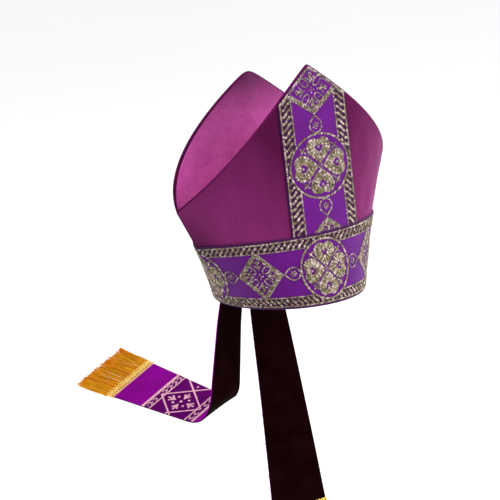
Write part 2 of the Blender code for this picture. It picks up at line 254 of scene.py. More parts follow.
class MitreColours(bpy.types.PropertyGroup):
    """Colours of the cloths and threads."""

    satin: colour("Satin", "Panels' satin", 122, 46, 98)
    satin_deep: colour("Deep satin", "Satin's darker threads", 92, 32, 72)
    # Painted shade of the satin, blended in towards the tips, beside the orphreys and by the side
    # seams
    satin_peak: colour("Satin at the peak", "Panels' satin towards the tips", 62, 20, 48)
    satin_gloss: colour("Satin gloss", "Tint of the satin's shine", 224, 48, 176)
    piping: colour("Edge roll", "Rolled edges of the horns", 72, 20, 56)
    lining: colour("Lining", "Gusset's cloth", 204, 92, 166)
    lining_deep: colour("Deep lining", "Nap lying the other way", 158, 56, 128)
    # Painted shade of the gusset's cloth high in the back horn
    lining_peak: colour("Lining at the peak", "Gusset's cloth in the back horn", 74, 24, 60)
    ground: colour("Ground", "Galloon's violet ground", 88, 24, 110)
    # Deep ground is the ground's darker tone, and under the borders partly painted shade between the
    # raised gold strokes
    ground_deep: colour("Deep ground", "Ground under the borders", 52, 26, 54)
    ground_gloss: colour("Ground gloss", "Tint of the galloon's shine", 190, 84, 216)
    gold: colour("Gold", "Gold thread", 130, 120, 90)
    # Light and deep gold are random tones of the stitches: the light one a painted glint, the deep
    # one partly painted shade
    gold_glint: colour("Light gold", "Gold thread where it is new", 208, 190, 186)
    gold_deep_shade: colour("Deep gold", "Gold thread where it is worn", 74, 61, 46)
    lappet: colour("Lappet", "Lappet's face", 142, 0, 146)
    lappet_deep: colour("Deep lappet", "Ground between the lappet's lines", 80, 0, 84)
    lappet_gloss: colour("Lappet gloss", "Tint of the lappet's shine", 220, 40, 220)
    # The lining's wine is darkened almost to black as painted shade
    shaded_wine: colour("Wine", "Lappet's lining", 18, 0, 5)
    thread: colour("Thread", "Lappet's embroidery", 255, 190, 208)
    amber: colour("Amber", "Fringe at its heading", 250, 178, 20)
    orange: colour("Orange", "Fringe at its tips", 246, 130, 8)
    cream: colour("Cream", "Fringe's few pale threads", 255, 226, 150)
    heading: colour("Heading", "Braided heading of the fringe", 255, 214, 92)
    floor: colour("Floor", "Studio floor", 247, 247, 248)


class MitreStudio(bpy.types.PropertyGroup):
    """Camera and lights of the picture."""

    azimuth: turn("Azimuth", "Camera's turn to the wearer's right", -33.09)
    elevation: turn("Elevation", "Camera's height above level", 11.40)
    roll: turn("Roll", "Tilt of the picture", 5.82)
    distance: size("Distance", "From the camera to the mitre's middle", 3.676)
    target_height: size("Target height", "Height of the point aimed at", 0.15)
    aim_right: size("Aim to the right", "Picture's middle beside that point", -0.0308)
    aim_up: size("Aim up", "Picture's middle above that point", -0.0976)
    lens: FloatProperty(name="Lens", description="Focal length", default=220.8, unit="CAMERA")
    floor_drop: size("Floor drop", "Floor below the fringe", 0.075)
    floor_radius: size("Floor radius", "Radius of the floor's flat part", 6.0)
    key: FloatProperty(name="Key", description="Main light", default=150.0, unit="POWER")
    fill: FloatProperty(name="Fill", description="Soft light", default=7.0, unit="POWER")
    sky: ratio("Sky", "Brightness of the surroundings", 0.96)


Settings = namedtuple("Settings", "shape galloon lappet colours studio")


def settings():
    """The scene's own groups of sizes and colours, by short names."""
    scene = bpy.context.scene
    return Settings(*(getattr(scene, name) for name in GROUPS))


def unit(vectors):
    return vectors / np.linalg.norm(vectors, axis=-1, keepdims=True)


def solve(rising, low, high):
    """Where rising functions pass zero, for arrays of limits."""
    low, high = (np.array(limit, dtype=float) for limit in (low, high))
    for _ in range(34):
        middle = (low + high) / 2
        below = rising(middle) < 0
        low = np.where(below, middle, low)
        high = np.where(below, high, middle)
    return (low + high) / 2


def smooth_step(value):
    value = np.clip(value, 0, 1)
    return value * value * (3 - 2 * value)


def length_of(points):
    return float(np.linalg.norm(np.diff(points, axis=0), axis=-1).sum())


def run_lengths(points):
    """Length along a line of points, from its start to each of them."""
    return np.concatenate([[0], np.cumsum(np.linalg.norm(np.diff(points, axis=0), axis=-1))])


class Crown:
    """The two panels' ruled surface, straight from rim to crown along each share s."""

    def __init__(self):
        self.shape = settings().shape
        self.band_width = settings().galloon.band_width
        self.galloon_face = -self.shape.gap - self.shape.galloon_wall
        self.galloon_back = -self.shape.gap

    def of_side(self, side, what):
        """A size that the front and the back each have."""
        return getattr(self.shape, f"{SIDES[side]}_{what}")

    def horn(self, side):
        """Height of a horn's tip above the rim."""
        return self.of_side(side, "horn")

    def seam_x(self, z):
        """Distance of a side seam from the middle at a height z."""
        shape = self.shape
        lean = (shape.corner_half_width - shape.rim_half_width) / shape.corner_height
        return shape.rim_half_width + lean * z

    def outer(self, side, s, z):
        """Point of a panel's outer face, s from -1 to 1 between the side seams."""
        rise = z / self.horn(side)
        rim_depth = getattr(self.shape, f"rim_{SIDES[side]}_depth")
        rim_x = self.shape.rim_half_width * np.sin(np.pi * s / 2)
        rim_y = rim_depth * np.cos(np.pi * s / 2)
        crown_x = self.seam_x(self.horn(side)) * s
        crown_y = self.of_side(side, "tip_depth") * (1 - np.abs(s) ** self.shape.crown_fullness)
        x = rim_x + (crown_x - rim_x) * rise
        y = side * (rim_y + (crown_y - rim_y) * rise)
        return np.stack(np.broadcast_arrays(x, y, z), axis=-1)

    def outward(self, side, s, z):
        """Level unit vector out of a panel's outer face."""
        along = self.outer(side, s + 0.001, z) - self.outer(side, s - 0.001, z)
        level = np.stack([-along[..., 1], along[..., 0], 0 * along[..., 0]], axis=-1)
        return unit(level) * side

    def at_depth(self, side, s, z, depth):
        """Point at a depth inside a panel's outer face."""
        return self.outer(side, s, z) - self.outward(side, s, z) * depth

    def seamed(self, side, s, z, depth):
        """Point of what stops at the side seams, half a clearance short of their plane."""
        inside = max(depth, 0.0)

        def before_seam(share):
            return self.shape.gap / 2 - side * self.at_depth(side, share, z, inside)[..., 1]

        stop = solve(before_seam, 0.5 + 0 * z, 1.05 + 0 * z)
        return self.at_depth(side, s * stop, z, depth)

    def edge_height(self, side, x):
        """Height of a horn's cut edge at a distance x from the middle."""
        shape = self.shape
        radius = self.of_side(side, "tip_radius")
        reach = math.hypot(shape.corner_half_width, radius)
        share = np.maximum(1 - np.hypot(x, radius) / reach, 0)
        rise = self.horn(side) - shape.corner_height
        return shape.corner_height + rise * share ** (1 / shape.edge_fullness)

    def above_edge(self, side, s, z):
        """How far a panel's point lies above the horn's cut edge."""
        return z - self.edge_height(side, self.outer(side, s, z)[..., 0])

    def fibre_height(self, side, s):
        """Height at which the line of constant s meets the horn's cut edge."""
        low = self.shape.corner_height / 2 + 0 * s
        high = self.horn(side) * 1.05 + 0 * s
        return solve(lambda z: self.above_edge(side, s, z), low, high)

    def band_top(self, side, s):
        """Height of the band's upper edge, whose width is measured along the panel."""
        rise = 0.001
        step = self.outer(side, s, rise + 0 * s) - self.outer(side, s, 0 * s)
        return self.band_width * rise / np.linalg.norm(step, axis=-1)

    def share_at_arc(self, side, arc, z):
        """The s at a signed length of arc from the middle of a panel."""
        steps = np.linspace(0, 1, 17).reshape(-1, *([1] * np.ndim(arc)))

        def past_arc(s):
            points = self.outer(side, steps * s, z + 0 * steps * s)
            lengths = np.linalg.norm(np.diff(points, axis=0), axis=-1)
            return lengths.sum(axis=0) - np.abs(arc)

        found = solve(past_arc, 0 * arc, 1 + 0 * arc)
        return np.copysign(found, arc)

    def at_arc(self, side, arc, z, depth):
        """Point at a signed length of arc from the middle of a panel."""
        return self.at_depth(side, self.share_at_arc(side, arc, z), z, depth)


class Strip:
    """A strip's surface: u runs along it and v across it, both in metres."""

    def __init__(self, u, v, points):
        self.u = u
        self.v = v
        along = unit(np.gradient(points, u, axis=0))
        across = unit(np.gradient(points, v, axis=1))
        out = unit(np.cross(along, across))
        self.grid = np.concatenate([points, along, across, out], axis=-1)

    @staticmethod
    def cell(axis, value):
        index = np.clip(np.searchsorted(axis, value) - 1, 0, len(axis) - 2)
        return index, (value - axis[index]) / (axis[index + 1] - axis[index])

    def read(self, u, v):
        """Points and unit vectors along, across and out of the strip."""
        i, a = self.cell(self.u, u)
        j, b = self.cell(self.v, v)
        a = a[..., None]
        b = b[..., None]
        near = self.grid[i, j] * (1 - b) + self.grid[i, j + 1] * b
        far = self.grid[i + 1, j] * (1 - b) + self.grid[i + 1, j + 1] * b
        mixed = near * (1 - a) + far * a
        return mixed[..., :3], mixed[..., 3:6], mixed[..., 6:9], mixed[..., 9:]


def band_ring(crown, v, depth):
    """Points round the band from the back's middle, by the wearer's right, and back again."""
    v = v[None, :]
    half = BAND_STEPS // 2
    stretches = ((BACK, 0, -1, half), (FRONT, -1, 1, 2 * half), (BACK, 1, 0, half))
    rows = []
    for side, first, last, steps in stretches:
        s = np.linspace(first, last, steps + 1)[:, None]
        z = crown.band_top(side, s) * (v / crown.band_width + 0.5)
        rows.append(crown.seamed(side, s + 0 * v, z, depth))
    right_seam = (rows[0][-1:] + rows[1][:1]) / 2
    left_seam = (rows[1][-1:] + rows[2][:1]) / 2
    points = np.concatenate([rows[0][:-1], right_seam, rows[1][1:-1], left_seam, rows[2][1:]])
    u = run_lengths(points[:, points.shape[1] // 2])
    return u - u[2 * half], points


def orphrey_slope(crown, side):
    """Length along the middle of a horn for each metre of height."""
    ends = crown.outer(side, 0.0, np.array([0.0, crown.horn(side)]))
    return float(np.linalg.norm(ends[1] - ends[0])) / crown.horn(side)


def orphrey_points(crown, side, u, v, depth):
    """Points of an upright galloon: u below the horn's tip, v across towards the viewer's right."""
    z = crown.horn(side) - u / orphrey_slope(crown, side)
    return crown.at_arc(side, -side * v, z, depth)


def orphrey_limits(crown, side, v):
    """The u at which an upright galloon starts at the cut edge, and where it meets the band."""
    arc = -side * v
    horn = crown.horn(side)

    def above_edge(z):
        return crown.above_edge(side, crown.share_at_arc(side, arc, z), z)

    top = solve(above_edge, crown.shape.corner_height + 0 * v, horn + 0 * v)
    foot_share = crown.share_at_arc(side, arc, crown.band_width + 0 * v)
    foot = crown.band_top(side, foot_share) + crown.shape.gap
    slope = orphrey_slope(crown, side)
    return (horn - top) * slope, (horn - foot) * slope


class Hanging:
    """A lappet's middle line and its unit vectors, by length below the rim."""

    def __init__(self, crown, hand):
        lappet = settings().lappet
        self.crown = crown
        self.lappet = lappet
        self.hand = hand
        self.name = HANDS[hand]
        self.inside = crown.shape.panel_wall + crown.shape.gap
        self.lengths = np.linspace(0, lappet.length, 241)
        share = self.lengths / lappet.length
        pitch = np.radians(self.eased("pitch", share))
        tilt = np.radians(self.eased("tilt", share)) * -hand
        drift = getattr(lappet, f"{self.name}_drift") * hand
        none = 0 * pitch
        down = np.stack([none, np.sin(pitch), -np.cos(pitch)], axis=-1)
        level = np.stack([none + 1, none, none], axis=-1)
        out = np.stack([none, np.cos(pitch), np.sin(pitch)], axis=-1)
        turned = level * np.cos(tilt)[:, None] + out * np.sin(tilt)[:, None]
        self.out = out * np.cos(tilt)[:, None] - level * np.sin(tilt)[:, None]
        self.along = down * math.cos(drift) + turned * math.sin(drift)
        self.across = turned * math.cos(drift) - down * math.sin(drift)
        seat = crown.at_arc(BACK, np.array(hand * lappet.spacing / 2), np.array(0.0), self.inside)
        steps = unit(self.along[1:] + self.along[:-1]) * (self.lengths[1] - self.lengths[0])
        self.middle = seat + np.concatenate([np.zeros((1, 3)), np.cumsum(steps, axis=0)])

    def eased(self, column, share):
        """A column of the lappet's hang table, eased between its rows."""
        rows = HANGS[self.hand]
        shares = np.array([row.share for row in rows])
        values = np.array([getattr(row, column) for row in rows])
        index = np.clip(np.searchsorted(shares, share, side="right") - 1, 0, len(rows) - 2)
        passed = (share - shares[index]) / (shares[index + 1] - shares[index])
        return values[index] + (values[index + 1] - values[index]) * smooth_step(passed)

    def read(self, lengths):
        """Middle, along, across and out at any lengths, straight on past the end."""
        over = np.maximum(lengths - self.lappet.length, 0)
        clipped = np.clip(lengths, 0, self.lappet.length)
        found = []
        for table in (self.middle, self.along, self.across, self.out):
            columns = [np.interp(clipped, self.lengths, table[:, k]) for k in range(3)]
            found.append(np.stack(columns, axis=-1))
        middle, along, across, out = found
        return middle + along * over[..., None], along, across, out

    def width(self, lengths):
        share = np.clip(lengths / self.lappet.length, 0, 1)
        return self.lappet.top_width + (self.lappet.end_width - self.lappet.top_width) * share

    def rim_row(self, fractions, z, depth):
        arc = self.hand * self.lappet.spacing / 2 + fractions * self.lappet.top_width
        return self.crown.at_arc(BACK, arc, z + 0 * arc, self.inside + depth)

    def cloth(self, lengths, fractions, depth):
        """Rows of one face of the cloth; fractions run across it from -0.5 to 0.5."""
        middle, along, across, out = self.read(lengths)
        offset = self.rim_row(fractions, 0.0, 0.0) - middle[0]
        widening = self.width(lengths) / self.lappet.top_width
        x = (offset @ across[0])[None, :] * widening[:, None]
        fade = np.maximum(1 - lengths / self.lappet.flattening, 0)
        bow = (offset @ out[0])[None, :] * fade[:, None] - depth
        rows = middle[:, None] + across[:, None] * x[..., None] + out[:, None] * bow[..., None]
        rows[0] = self.rim_row(fractions, 0.0, depth)
        seat = self.rim_row(fractions, self.lappet.seat, depth)
        return np.concatenate([seat[None], rows])


def deselect():
    bpy.ops.object.select_all(action="DESELECT")


@contextmanager
def editing():
    """Edit mode with the whole mesh selected, then object mode again."""
    bpy.ops.object.mode_set(mode="EDIT")
    bpy.ops.mesh.select_all(action="SELECT")
    yield
    bpy.ops.object.mode_set(mode="OBJECT")


def choose(piece):
    """Make a piece the only one selected, and active."""
    deselect()
    piece.select_set(True)
    bpy.context.view_layer.objects.active = piece


def add_mesh(name, points, faces, corner_uv=None):
    """New object from arrays; every face has the same number of corners."""
    mesh = bpy.data.meshes.new(name)
    mesh.vertices.add(len(points))
    mesh.vertices.foreach_set("co", np.ascontiguousarray(points, dtype=np.float32).ravel())
    mesh.loops.add(faces.size)
    mesh.loops.foreach_set("vertex_index", np.ascontiguousarray(faces, dtype=np.int32).ravel())
    mesh.polygons.add(len(faces))
    starts = np.arange(0, faces.size, faces.shape[1], dtype=np.int32)
    mesh.polygons.foreach_set("loop_start", starts)
    if corner_uv is not None:
        layer = mesh.uv_layers.new(name="cloth")
        layer.data.foreach_set("uv", np.ascontiguousarray(corner_uv, dtype=np.float32).ravel())
    mesh.update(calc_edges=True)
    piece = bpy.data.objects.new(name, mesh)
    bpy.context.scene.collection.objects.link(piece)
    return piece


def add_cloth(name, face, back, uv, looped=False):
    """Closed wall of cloth between two grids of points; uv holds metres along and across."""
    rows, columns = face.shape[:2]
    index = np.arange(rows * columns).reshape(rows, columns)
    if looped:
        index = np.concatenate([index, index[:1]])
    under = index + rows * columns
    flip = surface_faces_back(face, back)

    def quads(a, b, c, d, uv_corners):
        corners = (a, b, c, d)
        if flip:
            corners = corners[::-1]
            uv_corners = uv_corners[::-1]
        faces = np.stack([corner.ravel() for corner in corners], axis=-1)
        return faces, np.stack([corner.reshape(-1, 2) for corner in uv_corners], axis=1)

    def panel(grid, reverse):
        order = [(0, 0), (1, 0), (1, 1), (0, 1)]
        order = order[::-1] if reverse else order
        height, width = grid.shape
        cut = [np.s_[i:height - 1 + i, j:width - 1 + j] for i, j in order]
        return quads(*[grid[c] for c in cut], [uv[c] for c in cut])

    def hem(top, low, strip_uv):
        corners = [top[:-1], top[1:], low[1:], low[:-1]]
        around = [strip_uv[:-1], strip_uv[1:], strip_uv[1:], strip_uv[:-1]]
        return quads(*corners, around)

    parts = [panel(index, False), panel(under, True)]
    parts.append(hem(under[:, 0], index[:, 0], uv[:, 0]))
    parts.append(hem(index[:, -1], under[:, -1], uv[:, -1]))
    if not looped:
        parts.append(hem(index[0], under[0], uv[0]))
        parts.append(hem(under[-1], index[-1], uv[-1]))
    faces = np.concatenate([part[0] for part in parts])
    corner_uv = np.concatenate([part[1] for part in parts])
    points = np.concatenate([face.reshape(-1, 3), back.reshape(-1, 3)])
    return add_mesh(name, points, faces, corner_uv.reshape(-1, 2))


def surface_faces_back(face, back):
    """Whether a grid's rows and columns turn its normal towards the other grid."""
    i, j = face.shape[0] // 2, face.shape[1] // 2
    down = face[i + 1, j] - face[i, j]
    across = face[i, j + 1] - face[i, j]
    return float(np.cross(down, across) @ (face[i, j] - back[i, j])) < 0


def grid_area(points):
    """Area of a grid of points."""
    first = np.cross(points[1:, :-1] - points[:-1, :-1], points[:-1, 1:] - points[:-1, :-1])
    second = np.cross(points[:-1, 1:] - points[1:, 1:], points[1:, :-1] - points[1:, 1:])
    return float(np.linalg.norm(first, axis=-1).sum() + np.linalg.norm(second, axis=-1).sum()) / 2


def round_hems(piece, width, segments=2):
    """Soften a cloth's hems with an applied Bevel, and shade it smooth."""
    choose(piece)
    bevel = piece.modifiers.new("hems", "BEVEL")
    bevel.width = width
    bevel.segments = segments
    bevel.limit_method = "ANGLE"
    bevel.angle_limit = math.radians(55)
    bpy.ops.object.modifier_apply(modifier=bevel.name)
    bpy.ops.object.shade_smooth_by_angle(angle=math.radians(50))


def dress(piece, material, replaces=()):
    """Give a piece its finish, and tie it to the frame."""
    piece.data.materials.clear()
    piece.data.materials.append(material)
    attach(piece, "root")
    if replaces:
        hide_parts(*replaces)
    return piece


def take_mesh(model):
    """A modelled object's points and faces, these in a fixed order; the object is removed."""
    mesh = model.data
    points = np.array([v.co for v in mesh.vertices])
    faces = []
    for face in mesh.polygons:
        corners = list(face.vertices)
        lowest = corners.index(min(corners))
        faces.append(corners[lowest:] + corners[:lowest])
    bpy.data.objects.remove(model)
    bpy.data.meshes.remove(mesh)
    return points, np.array(sorted(faces))


def add_copies(name, placed, faces, tone):
    """Placed copies of one small mesh as one piece, with a tone at each of its points."""
    indices = faces[None] + (np.arange(len(placed)) * placed.shape[1])[:, None, None]
    piece = add_mesh(name, placed.reshape(-1, 3), indices.reshape(-1, faces.shape[1]))
    attribute = piece.data.attributes.new("tone", "FLOAT", "POINT")
    attribute.data.foreach_set("value", np.broadcast_to(tone, placed.shape[:2]).ravel())
    piece.data.shade_smooth()
    return piece


def model_bead():
    """One stitch of thread, a low round bead with its ends drawn to points, as triangles."""
    deselect()
    bpy.ops.mesh.primitive_uv_sphere_add(segments=5, ring_count=4, radius=0.5)
    with editing():
        bpy.ops.transform.rotate(value=math.pi / 2, orient_axis="Y", center_override=(0, 0, 0))
        bpy.ops.mesh.quads_convert_to_tris()
    return take_mesh(bpy.context.object)


# Stitches are rows of: place along, place across, direction, length, width, height, lift
def stitches(along, across, direction, length, width, height, lift=0.0):
    values = np.broadcast_arrays(along, across, direction, length, width, height, lift)
    return np.stack([np.asarray(value, dtype=float) for value in values], axis=-1)


def paced(points, pitch, closed=False):
    """Even places and directions along a line of points."""
    points = np.asarray(points, dtype=float)
    if closed:
        points = np.concatenate([points, points[:1]])
    lengths = run_lengths(points)
    count = max(int(round(lengths[-1] / pitch)), 1)
    at = (np.arange(count) + 0.5) * lengths[-1] / count
    reach = lengths[-1] / count / 2

    def read(places):
        return np.stack([np.interp(places, lengths, points[:, k]) for k in (0, 1)], axis=-1)

    heading = np.arctan2(*(read(at + reach) - read(at - reach)).T[::-1])
    return read(at), heading


def rope(points, thickness, closed=False):
    """Twisted line: short slanting stitches that overlap."""
    place, heading = paced(points, thickness * ROPE_PACE, closed)
    return stitches(
        place[:, 0], place[:, 1], heading + ROPE_SLANT,
        thickness * ROPE_LENGTH, thickness * ROPE_WIDTH, thickness * ROPE_HEIGHT,
    )


def satin_line(points, width, pitch=CLOSE, closed=False, lift=0.0):
    """Satin stitch: stitches laid across a line, side by side."""
    place, heading = paced(points, pitch, closed)
    across = heading + math.pi / 2
    height = min(0.45 * width, 0.0011)
    return stitches(place[:, 0], place[:, 1], across, width, pitch * 1.25, height, lift)


def knot(diameter, along=0.0, across=0.0, lift=0.0):
    return stitches([along], [across], 0.0, diameter, diameter, diameter * 0.6, lift)


def moved(rows, along=0.0, across=0.0, degrees=0.0, stretch=(1.0, 1.0)):
    """Stitches turned, stretched and then shifted."""
    angle = math.radians(degrees)
    rows = rows.copy()
    a = rows[:, 0].copy()
    b = rows[:, 1].copy()
    rows[:, 0] = (a * math.cos(angle) - b * math.sin(angle)) * stretch[0] + along
    rows[:, 1] = (a * math.sin(angle) + b * math.cos(angle)) * stretch[1] + across
    turned = rows[:, 2] + angle
    rows[:, 2] = np.arctan2(np.sin(turned) * stretch[1], np.cos(turned) * stretch[0])
    return rows


def spun(rows, count):
    """Copies of some stitches, turned evenly round the origin."""
    return [moved(rows, degrees=360 / count * i) for i in range(count)]


def oval(along, across, count=96, middle=0.0):
    """Points round an oval whose middle lies on the u axis."""
    t = np.linspace(0, 2 * np.pi, count, endpoint=False)
    return np.stack([middle + along * np.cos(t), across * np.sin(t)], axis=-1)


def heart(foot, head, half_width):
    """Outline of a petal: its point at foot and its notched head outwards, along +u."""
    t = np.linspace(0, 2 * np.pi, 120, endpoint=False)
    notched = (13 * np.cos(t) - 5 * np.cos(2 * t) - 2 * np.cos(3 * t) - np.cos(4 * t) + 17) / 29
    round_head = 0.5 + 0.5 * np.cos(t)
    along = notched * 0.6 + round_head * 0.4
    across = np.sin(t) ** 3 * 0.6 + np.sin(t) * 0.4
    return np.stack([foot + (head - foot) * along, half_width * across], axis=-1)


# Rings of stitches that fill a petal: share of its outline, length of a stitch, and lift
PetalRing = namedtuple("PetalRing", "share width lift")
PETAL_RINGS = (
    PetalRing(0.89, 0.0041, 0.0),
    PetalRing(0.65, 0.0048, 0.0004),
    PetalRing(0.41, 0.0040, 0.0),
)


def petal(galloon):
    """Heart-shaped petal filled with rings of stitches, with a small star at its middle."""
    outline = heart(galloon.petal_foot, galloon.petal_head, galloon.petal_half_width)
    middle = np.array([galloon.petal_foot * 0.40 + galloon.petal_head * 0.60, 0])
    parts = []
    for ring in PETAL_RINGS:
        line = middle + (outline - middle) * ring.share
        parts.append(satin_line(line, ring.width, pitch=FULL, closed=True, lift=ring.lift))
    ray = np.array([(-0.0016, 0), (0.0018, 0)])
    parts.append(rope(middle + ray, thickness=0.0011))
    for degrees in (-55, 55):
        parts.append(moved(rope(ray, thickness=0.0009), *middle, degrees=degrees))
    return np.concatenate(parts)


def cross_sprig(reach, thickness):
    """Small saltire with a knot at its middle."""
    level = rope([(-reach, 0), (reach, 0)], thickness)
    upright = rope([(0, -reach), (0, reach)], thickness)
    return np.concatenate([level, upright, knot(thickness * 1.5, lift=0.0003)])


def roundel(galloon):
    """Rope ring round four petals, with sprigs and buds between them."""
    sprig = moved(cross_sprig(reach=0.0045, thickness=0.0021), along=0.0278)
    bud = moved(rope([(0.0, 0), (0.0044, 0)], thickness=0.0014), along=0.0194)
    ring = oval(galloon.ring_radius, galloon.ring_radius)
    parts = [rope(ring, galloon.ring_rope, closed=True)]
    for degrees in (0, 90, 180, 270):
        parts.append(moved(petal(galloon), degrees=degrees))
        parts += [moved(between, degrees=45 + degrees) for between in (sprig, bud)]
    parts.append(rope(diamond_corners(0.0036, 0.0036), thickness=0.0010, closed=True))
    parts.append(knot(0.0017))
    return np.concatenate(parts)


def diamond_corners(along, across):
    return np.array([(along, 0), (0, across), (-along, 0), (0, -across)])


def fleur(length):
    """Three-pronged sprig that opens along +u."""
    parts = [satin_line([(0, 0), (length, 0)], width=0.0024, pitch=EVEN)]
    for bend in (-length, length):
        prong = [(length * 0.15, 0), (length * 0.45, bend * 0.26), (length * 0.58, bend * 0.46)]
        parts.append(rope(prong, thickness=0.0018))
        parts.append(rope([(length * 0.5, 0), (length * 0.88, bend * 0.20)], thickness=0.0017))
    return np.concatenate(parts)


def loop_petal(near, far, half_width):
    """Oval loop with a knot inside, along +u."""
    middle = (near + far) / 2
    outline = oval((far - near) / 2, half_width, 40, middle)
    loop = satin_line(outline, width=0.0020, pitch=EVEN, closed=True)
    return np.concatenate([loop, knot(0.0015, middle)])


def diamond(galloon):
    """Double rope lozenge round an eight-petalled rosette."""
    return np.concatenate([lozenge(galloon), rosette(galloon)])


def lozenge(galloon):
    """Woven line in the shape of a diamond, between two ropes."""
    corners = diamond_corners(galloon.diamond_along, galloon.diamond_across)
    apothem = galloon.diamond_along * galloon.diamond_across / math.hypot(*corners[0], corners[1][1])
    width = galloon.lozenge_width
    parts = []
    for inset in (galloon.rope / 2, width):
        parts.append(rope(corners * (1 - inset / apothem), galloon.rope, closed=True))
    middle = corners * (1 - (width + galloon.rope / 2) / 2 / apothem)
    parts.append(satin_line(middle, width * 0.62, pitch=OPEN, closed=True))
    return np.concatenate(parts)


def rosette(galloon):
    """Sprigs along a diamond's diagonals, and loops between them."""
    slope = math.degrees(math.atan2(galloon.diamond_along, galloon.diamond_across))
    quarter = np.concatenate([moved(fleur(0.0124), along=0.0078), knot(0.0021, along=0.0029)])
    loop = loop_petal(near=0.0062, far=0.0186, half_width=0.0036)
    directions = (slope, 180 - slope, 180 + slope, -slope)
    loops = [moved(loop, degrees=direction) for direction in directions]
    return np.concatenate([knot(0.0018), *spun(quarter, 4), *loops])


def drop(galloon, length):
    """Teardrop: its bulb starts at the origin and its point is at length along +u."""
    radius = length * 0.42
    reach = length - radius
    lean = math.acos(radius / reach)
    t = np.linspace(lean, 2 * np.pi - lean, 40)
    bulb = np.stack([radius * np.cos(t), radius * np.sin(t)], axis=-1)
    outline = np.concatenate([bulb, [(reach, 0)]])
    leaf = satin_line([(0.0016, 0), (0.0043, 0)], width=0.0019)
    parts = [rope(outline, galloon.rope, closed=True), *spun(leaf, 6), knot(0.0015)]
    return moved(np.concatenate(parts), radius)


def drops(galloon, length, repeat, ring):
    """Teardrops at both ends of a ring, a little short of the ring and of the diamonds."""
    teardrop = drop(galloon, length - DROP_SHORTENING)
    teardrop = moved(teardrop, repeat.ring_along + DROP_GAP)
    return [moved(teardrop, ring, degrees=way) for way in (0, 180)]


# How far the strokes of a border stop short of its two lines
STROKE_INSET = 0.0012

# A border lies between its inner and outer lines, measured from the galloon's middle
Border = namedtuple("Border", "inner outer pitch")


def border_of(galloon, kind):
    """Border of the band or of an orphrey, from the sizes that start with that word."""
    width, selvage, braid, pitch = (
        getattr(galloon, f"{kind}_{what}") for what in ("width", "selvage", "braid", "pitch")
    )
    outer = width / 2 - selvage
    return Border(outer - braid, outer, pitch)


def borders(galloon, start, end, border):
    """Both borders of a galloon: bold S-shaped strokes between two fine lines."""
    middle = (border.outer + border.inner) / 2
    half = (border.outer - border.inner) / 2 - STROKE_INSET
    length = end - start
    count = int(length / border.pitch)
    t = np.linspace(-1, 1, 13)
    parts = []
    for edge in (-1, 1):
        along = edge * half * (0.62 * t + 0.25 * np.sin(np.pi * t))
        line = np.stack([along, half * t], axis=-1)
        stroke = satin_line(line, galloon.stroke_width, pitch=BOLD)
        places = [(i + 0.5) * length / count for i in range(count)]
        strokes = [moved(stroke, place, edge * middle) for place in places]
        parts.append(moved(np.concatenate(strokes), start))
        for across, thickness in ((border.outer, galloon.rope * 1.15), (border.inner, galloon.rope)):
            parts.append(rope([(start, edge * across), (end, edge * across)], thickness))
    return np.concatenate(parts)


# Where a galloon's ring lies and how far it and its diamonds reach; diamonds lie half-way
# between one ring and the next, at a distance step
Repeat = namedtuple("Repeat", "ring step ring_along ring_across diamond_along diamond_across")


def band_repeat(galloon):
    step = galloon.band_ring_along + galloon.band_drop + galloon.diamond_along
    return Repeat(
        galloon.band_ring_middle, step, galloon.band_ring_along, galloon.ring_radius,
        galloon.diamond_along, galloon.diamond_across,
    )


def orphrey_repeat(galloon):
    ring_along = galloon.ring_radius * galloon.orphrey_along
    diamond_along = galloon.diamond_along * galloon.orphrey_along
    step = ring_along + galloon.orphrey_drop + diamond_along
    return Repeat(
        diamond_along + step, step, ring_along, galloon.ring_radius * galloon.orphrey_across,
        diamond_along, galloon.diamond_across * galloon.orphrey_across,
    )


def outside(rows, measure, middles, along, across):
    """Stitches outside all rings, measured by np.hypot, or all diamonds, by np.add."""
    for middle in middles:
        reach = measure(np.abs(rows[:, 0] - middle) / along, np.abs(rows[:, 1]) / across)
        rows = rows[reach > 1]
    return rows


def sew(name, strip, rows, bead, material):
    """Lay stitches on a strip, each a copy of one bead, as a piece with its own mesh."""
    rng = np.random.default_rng(SEEDS.get(name, SEAM_SEED))
    count = len(rows)
    u, v, heading, length, width, height, lift = rows.T
    heading = heading + rng.normal(0, HEADING_SPREAD, count)
    length = length * rng.uniform(*LENGTH_RANGE, count)
    height = height * rng.uniform(*HEIGHT_RANGE, count)
    middle, along, across, out = strip.read(u, v)
    points, faces = bead
    x = points[None, :, 0] * length[:, None]
    y = points[None, :, 1] * width[:, None]
    z = points[None, :, 2] * height[:, None] + (height * STITCH_LIFT + lift)[:, None]
    cos = np.cos(heading)[:, None]
    sin = np.sin(heading)[:, None]
    placed = middle[:, None] + out[:, None] * z[..., None]
    placed += along[:, None] * (x * cos - y * sin)[..., None]
    placed += across[:, None] * (x * sin + y * cos)[..., None]
    piece = add_copies(name, placed, faces, rng.uniform(0, 1, count)[:, None])
    return dress(piece, material)


def piping_cord(name, path, radius, unevenness):
    """Slightly lumpy cord of the piping's cloth, a bevelled curve made a closed mesh."""
    swell = 1 + unevenness * np.sin(np.arange(len(path)) * LUMP_TURN)
    curve = bpy.data.curves.new(name, "CURVE")
    curve.dimensions = "3D"
    curve.bevel_depth = radius
    curve.bevel_resolution = 2
    curve.use_fill_caps = True
    spline = curve.splines.new("POLY")
    spline.points.add(len(path) - 1)
    for point, place, share in zip(spline.points, path, swell):
        point.co = (*place, 1.0)
        point.radius = share
    cord = bpy.data.objects.new(name, curve)
    bpy.context.scene.collection.objects.link(cord)
    choose(cord)
    bpy.ops.object.convert(target="MESH")
    cord = bpy.context.object
    with editing():
        bpy.ops.mesh.remove_doubles(threshold=1e-6)
        bpy.ops.mesh.normals_make_consistent(inside=False)
    bpy.ops.object.shade_smooth_by_angle(angle=math.radians(60))
    shade = settings().colours.piping
    finish = plain_weave_finish(name.replace("_", " "), shade, roughness=0.5, lift=1.5)
    return dress(cord, finish)


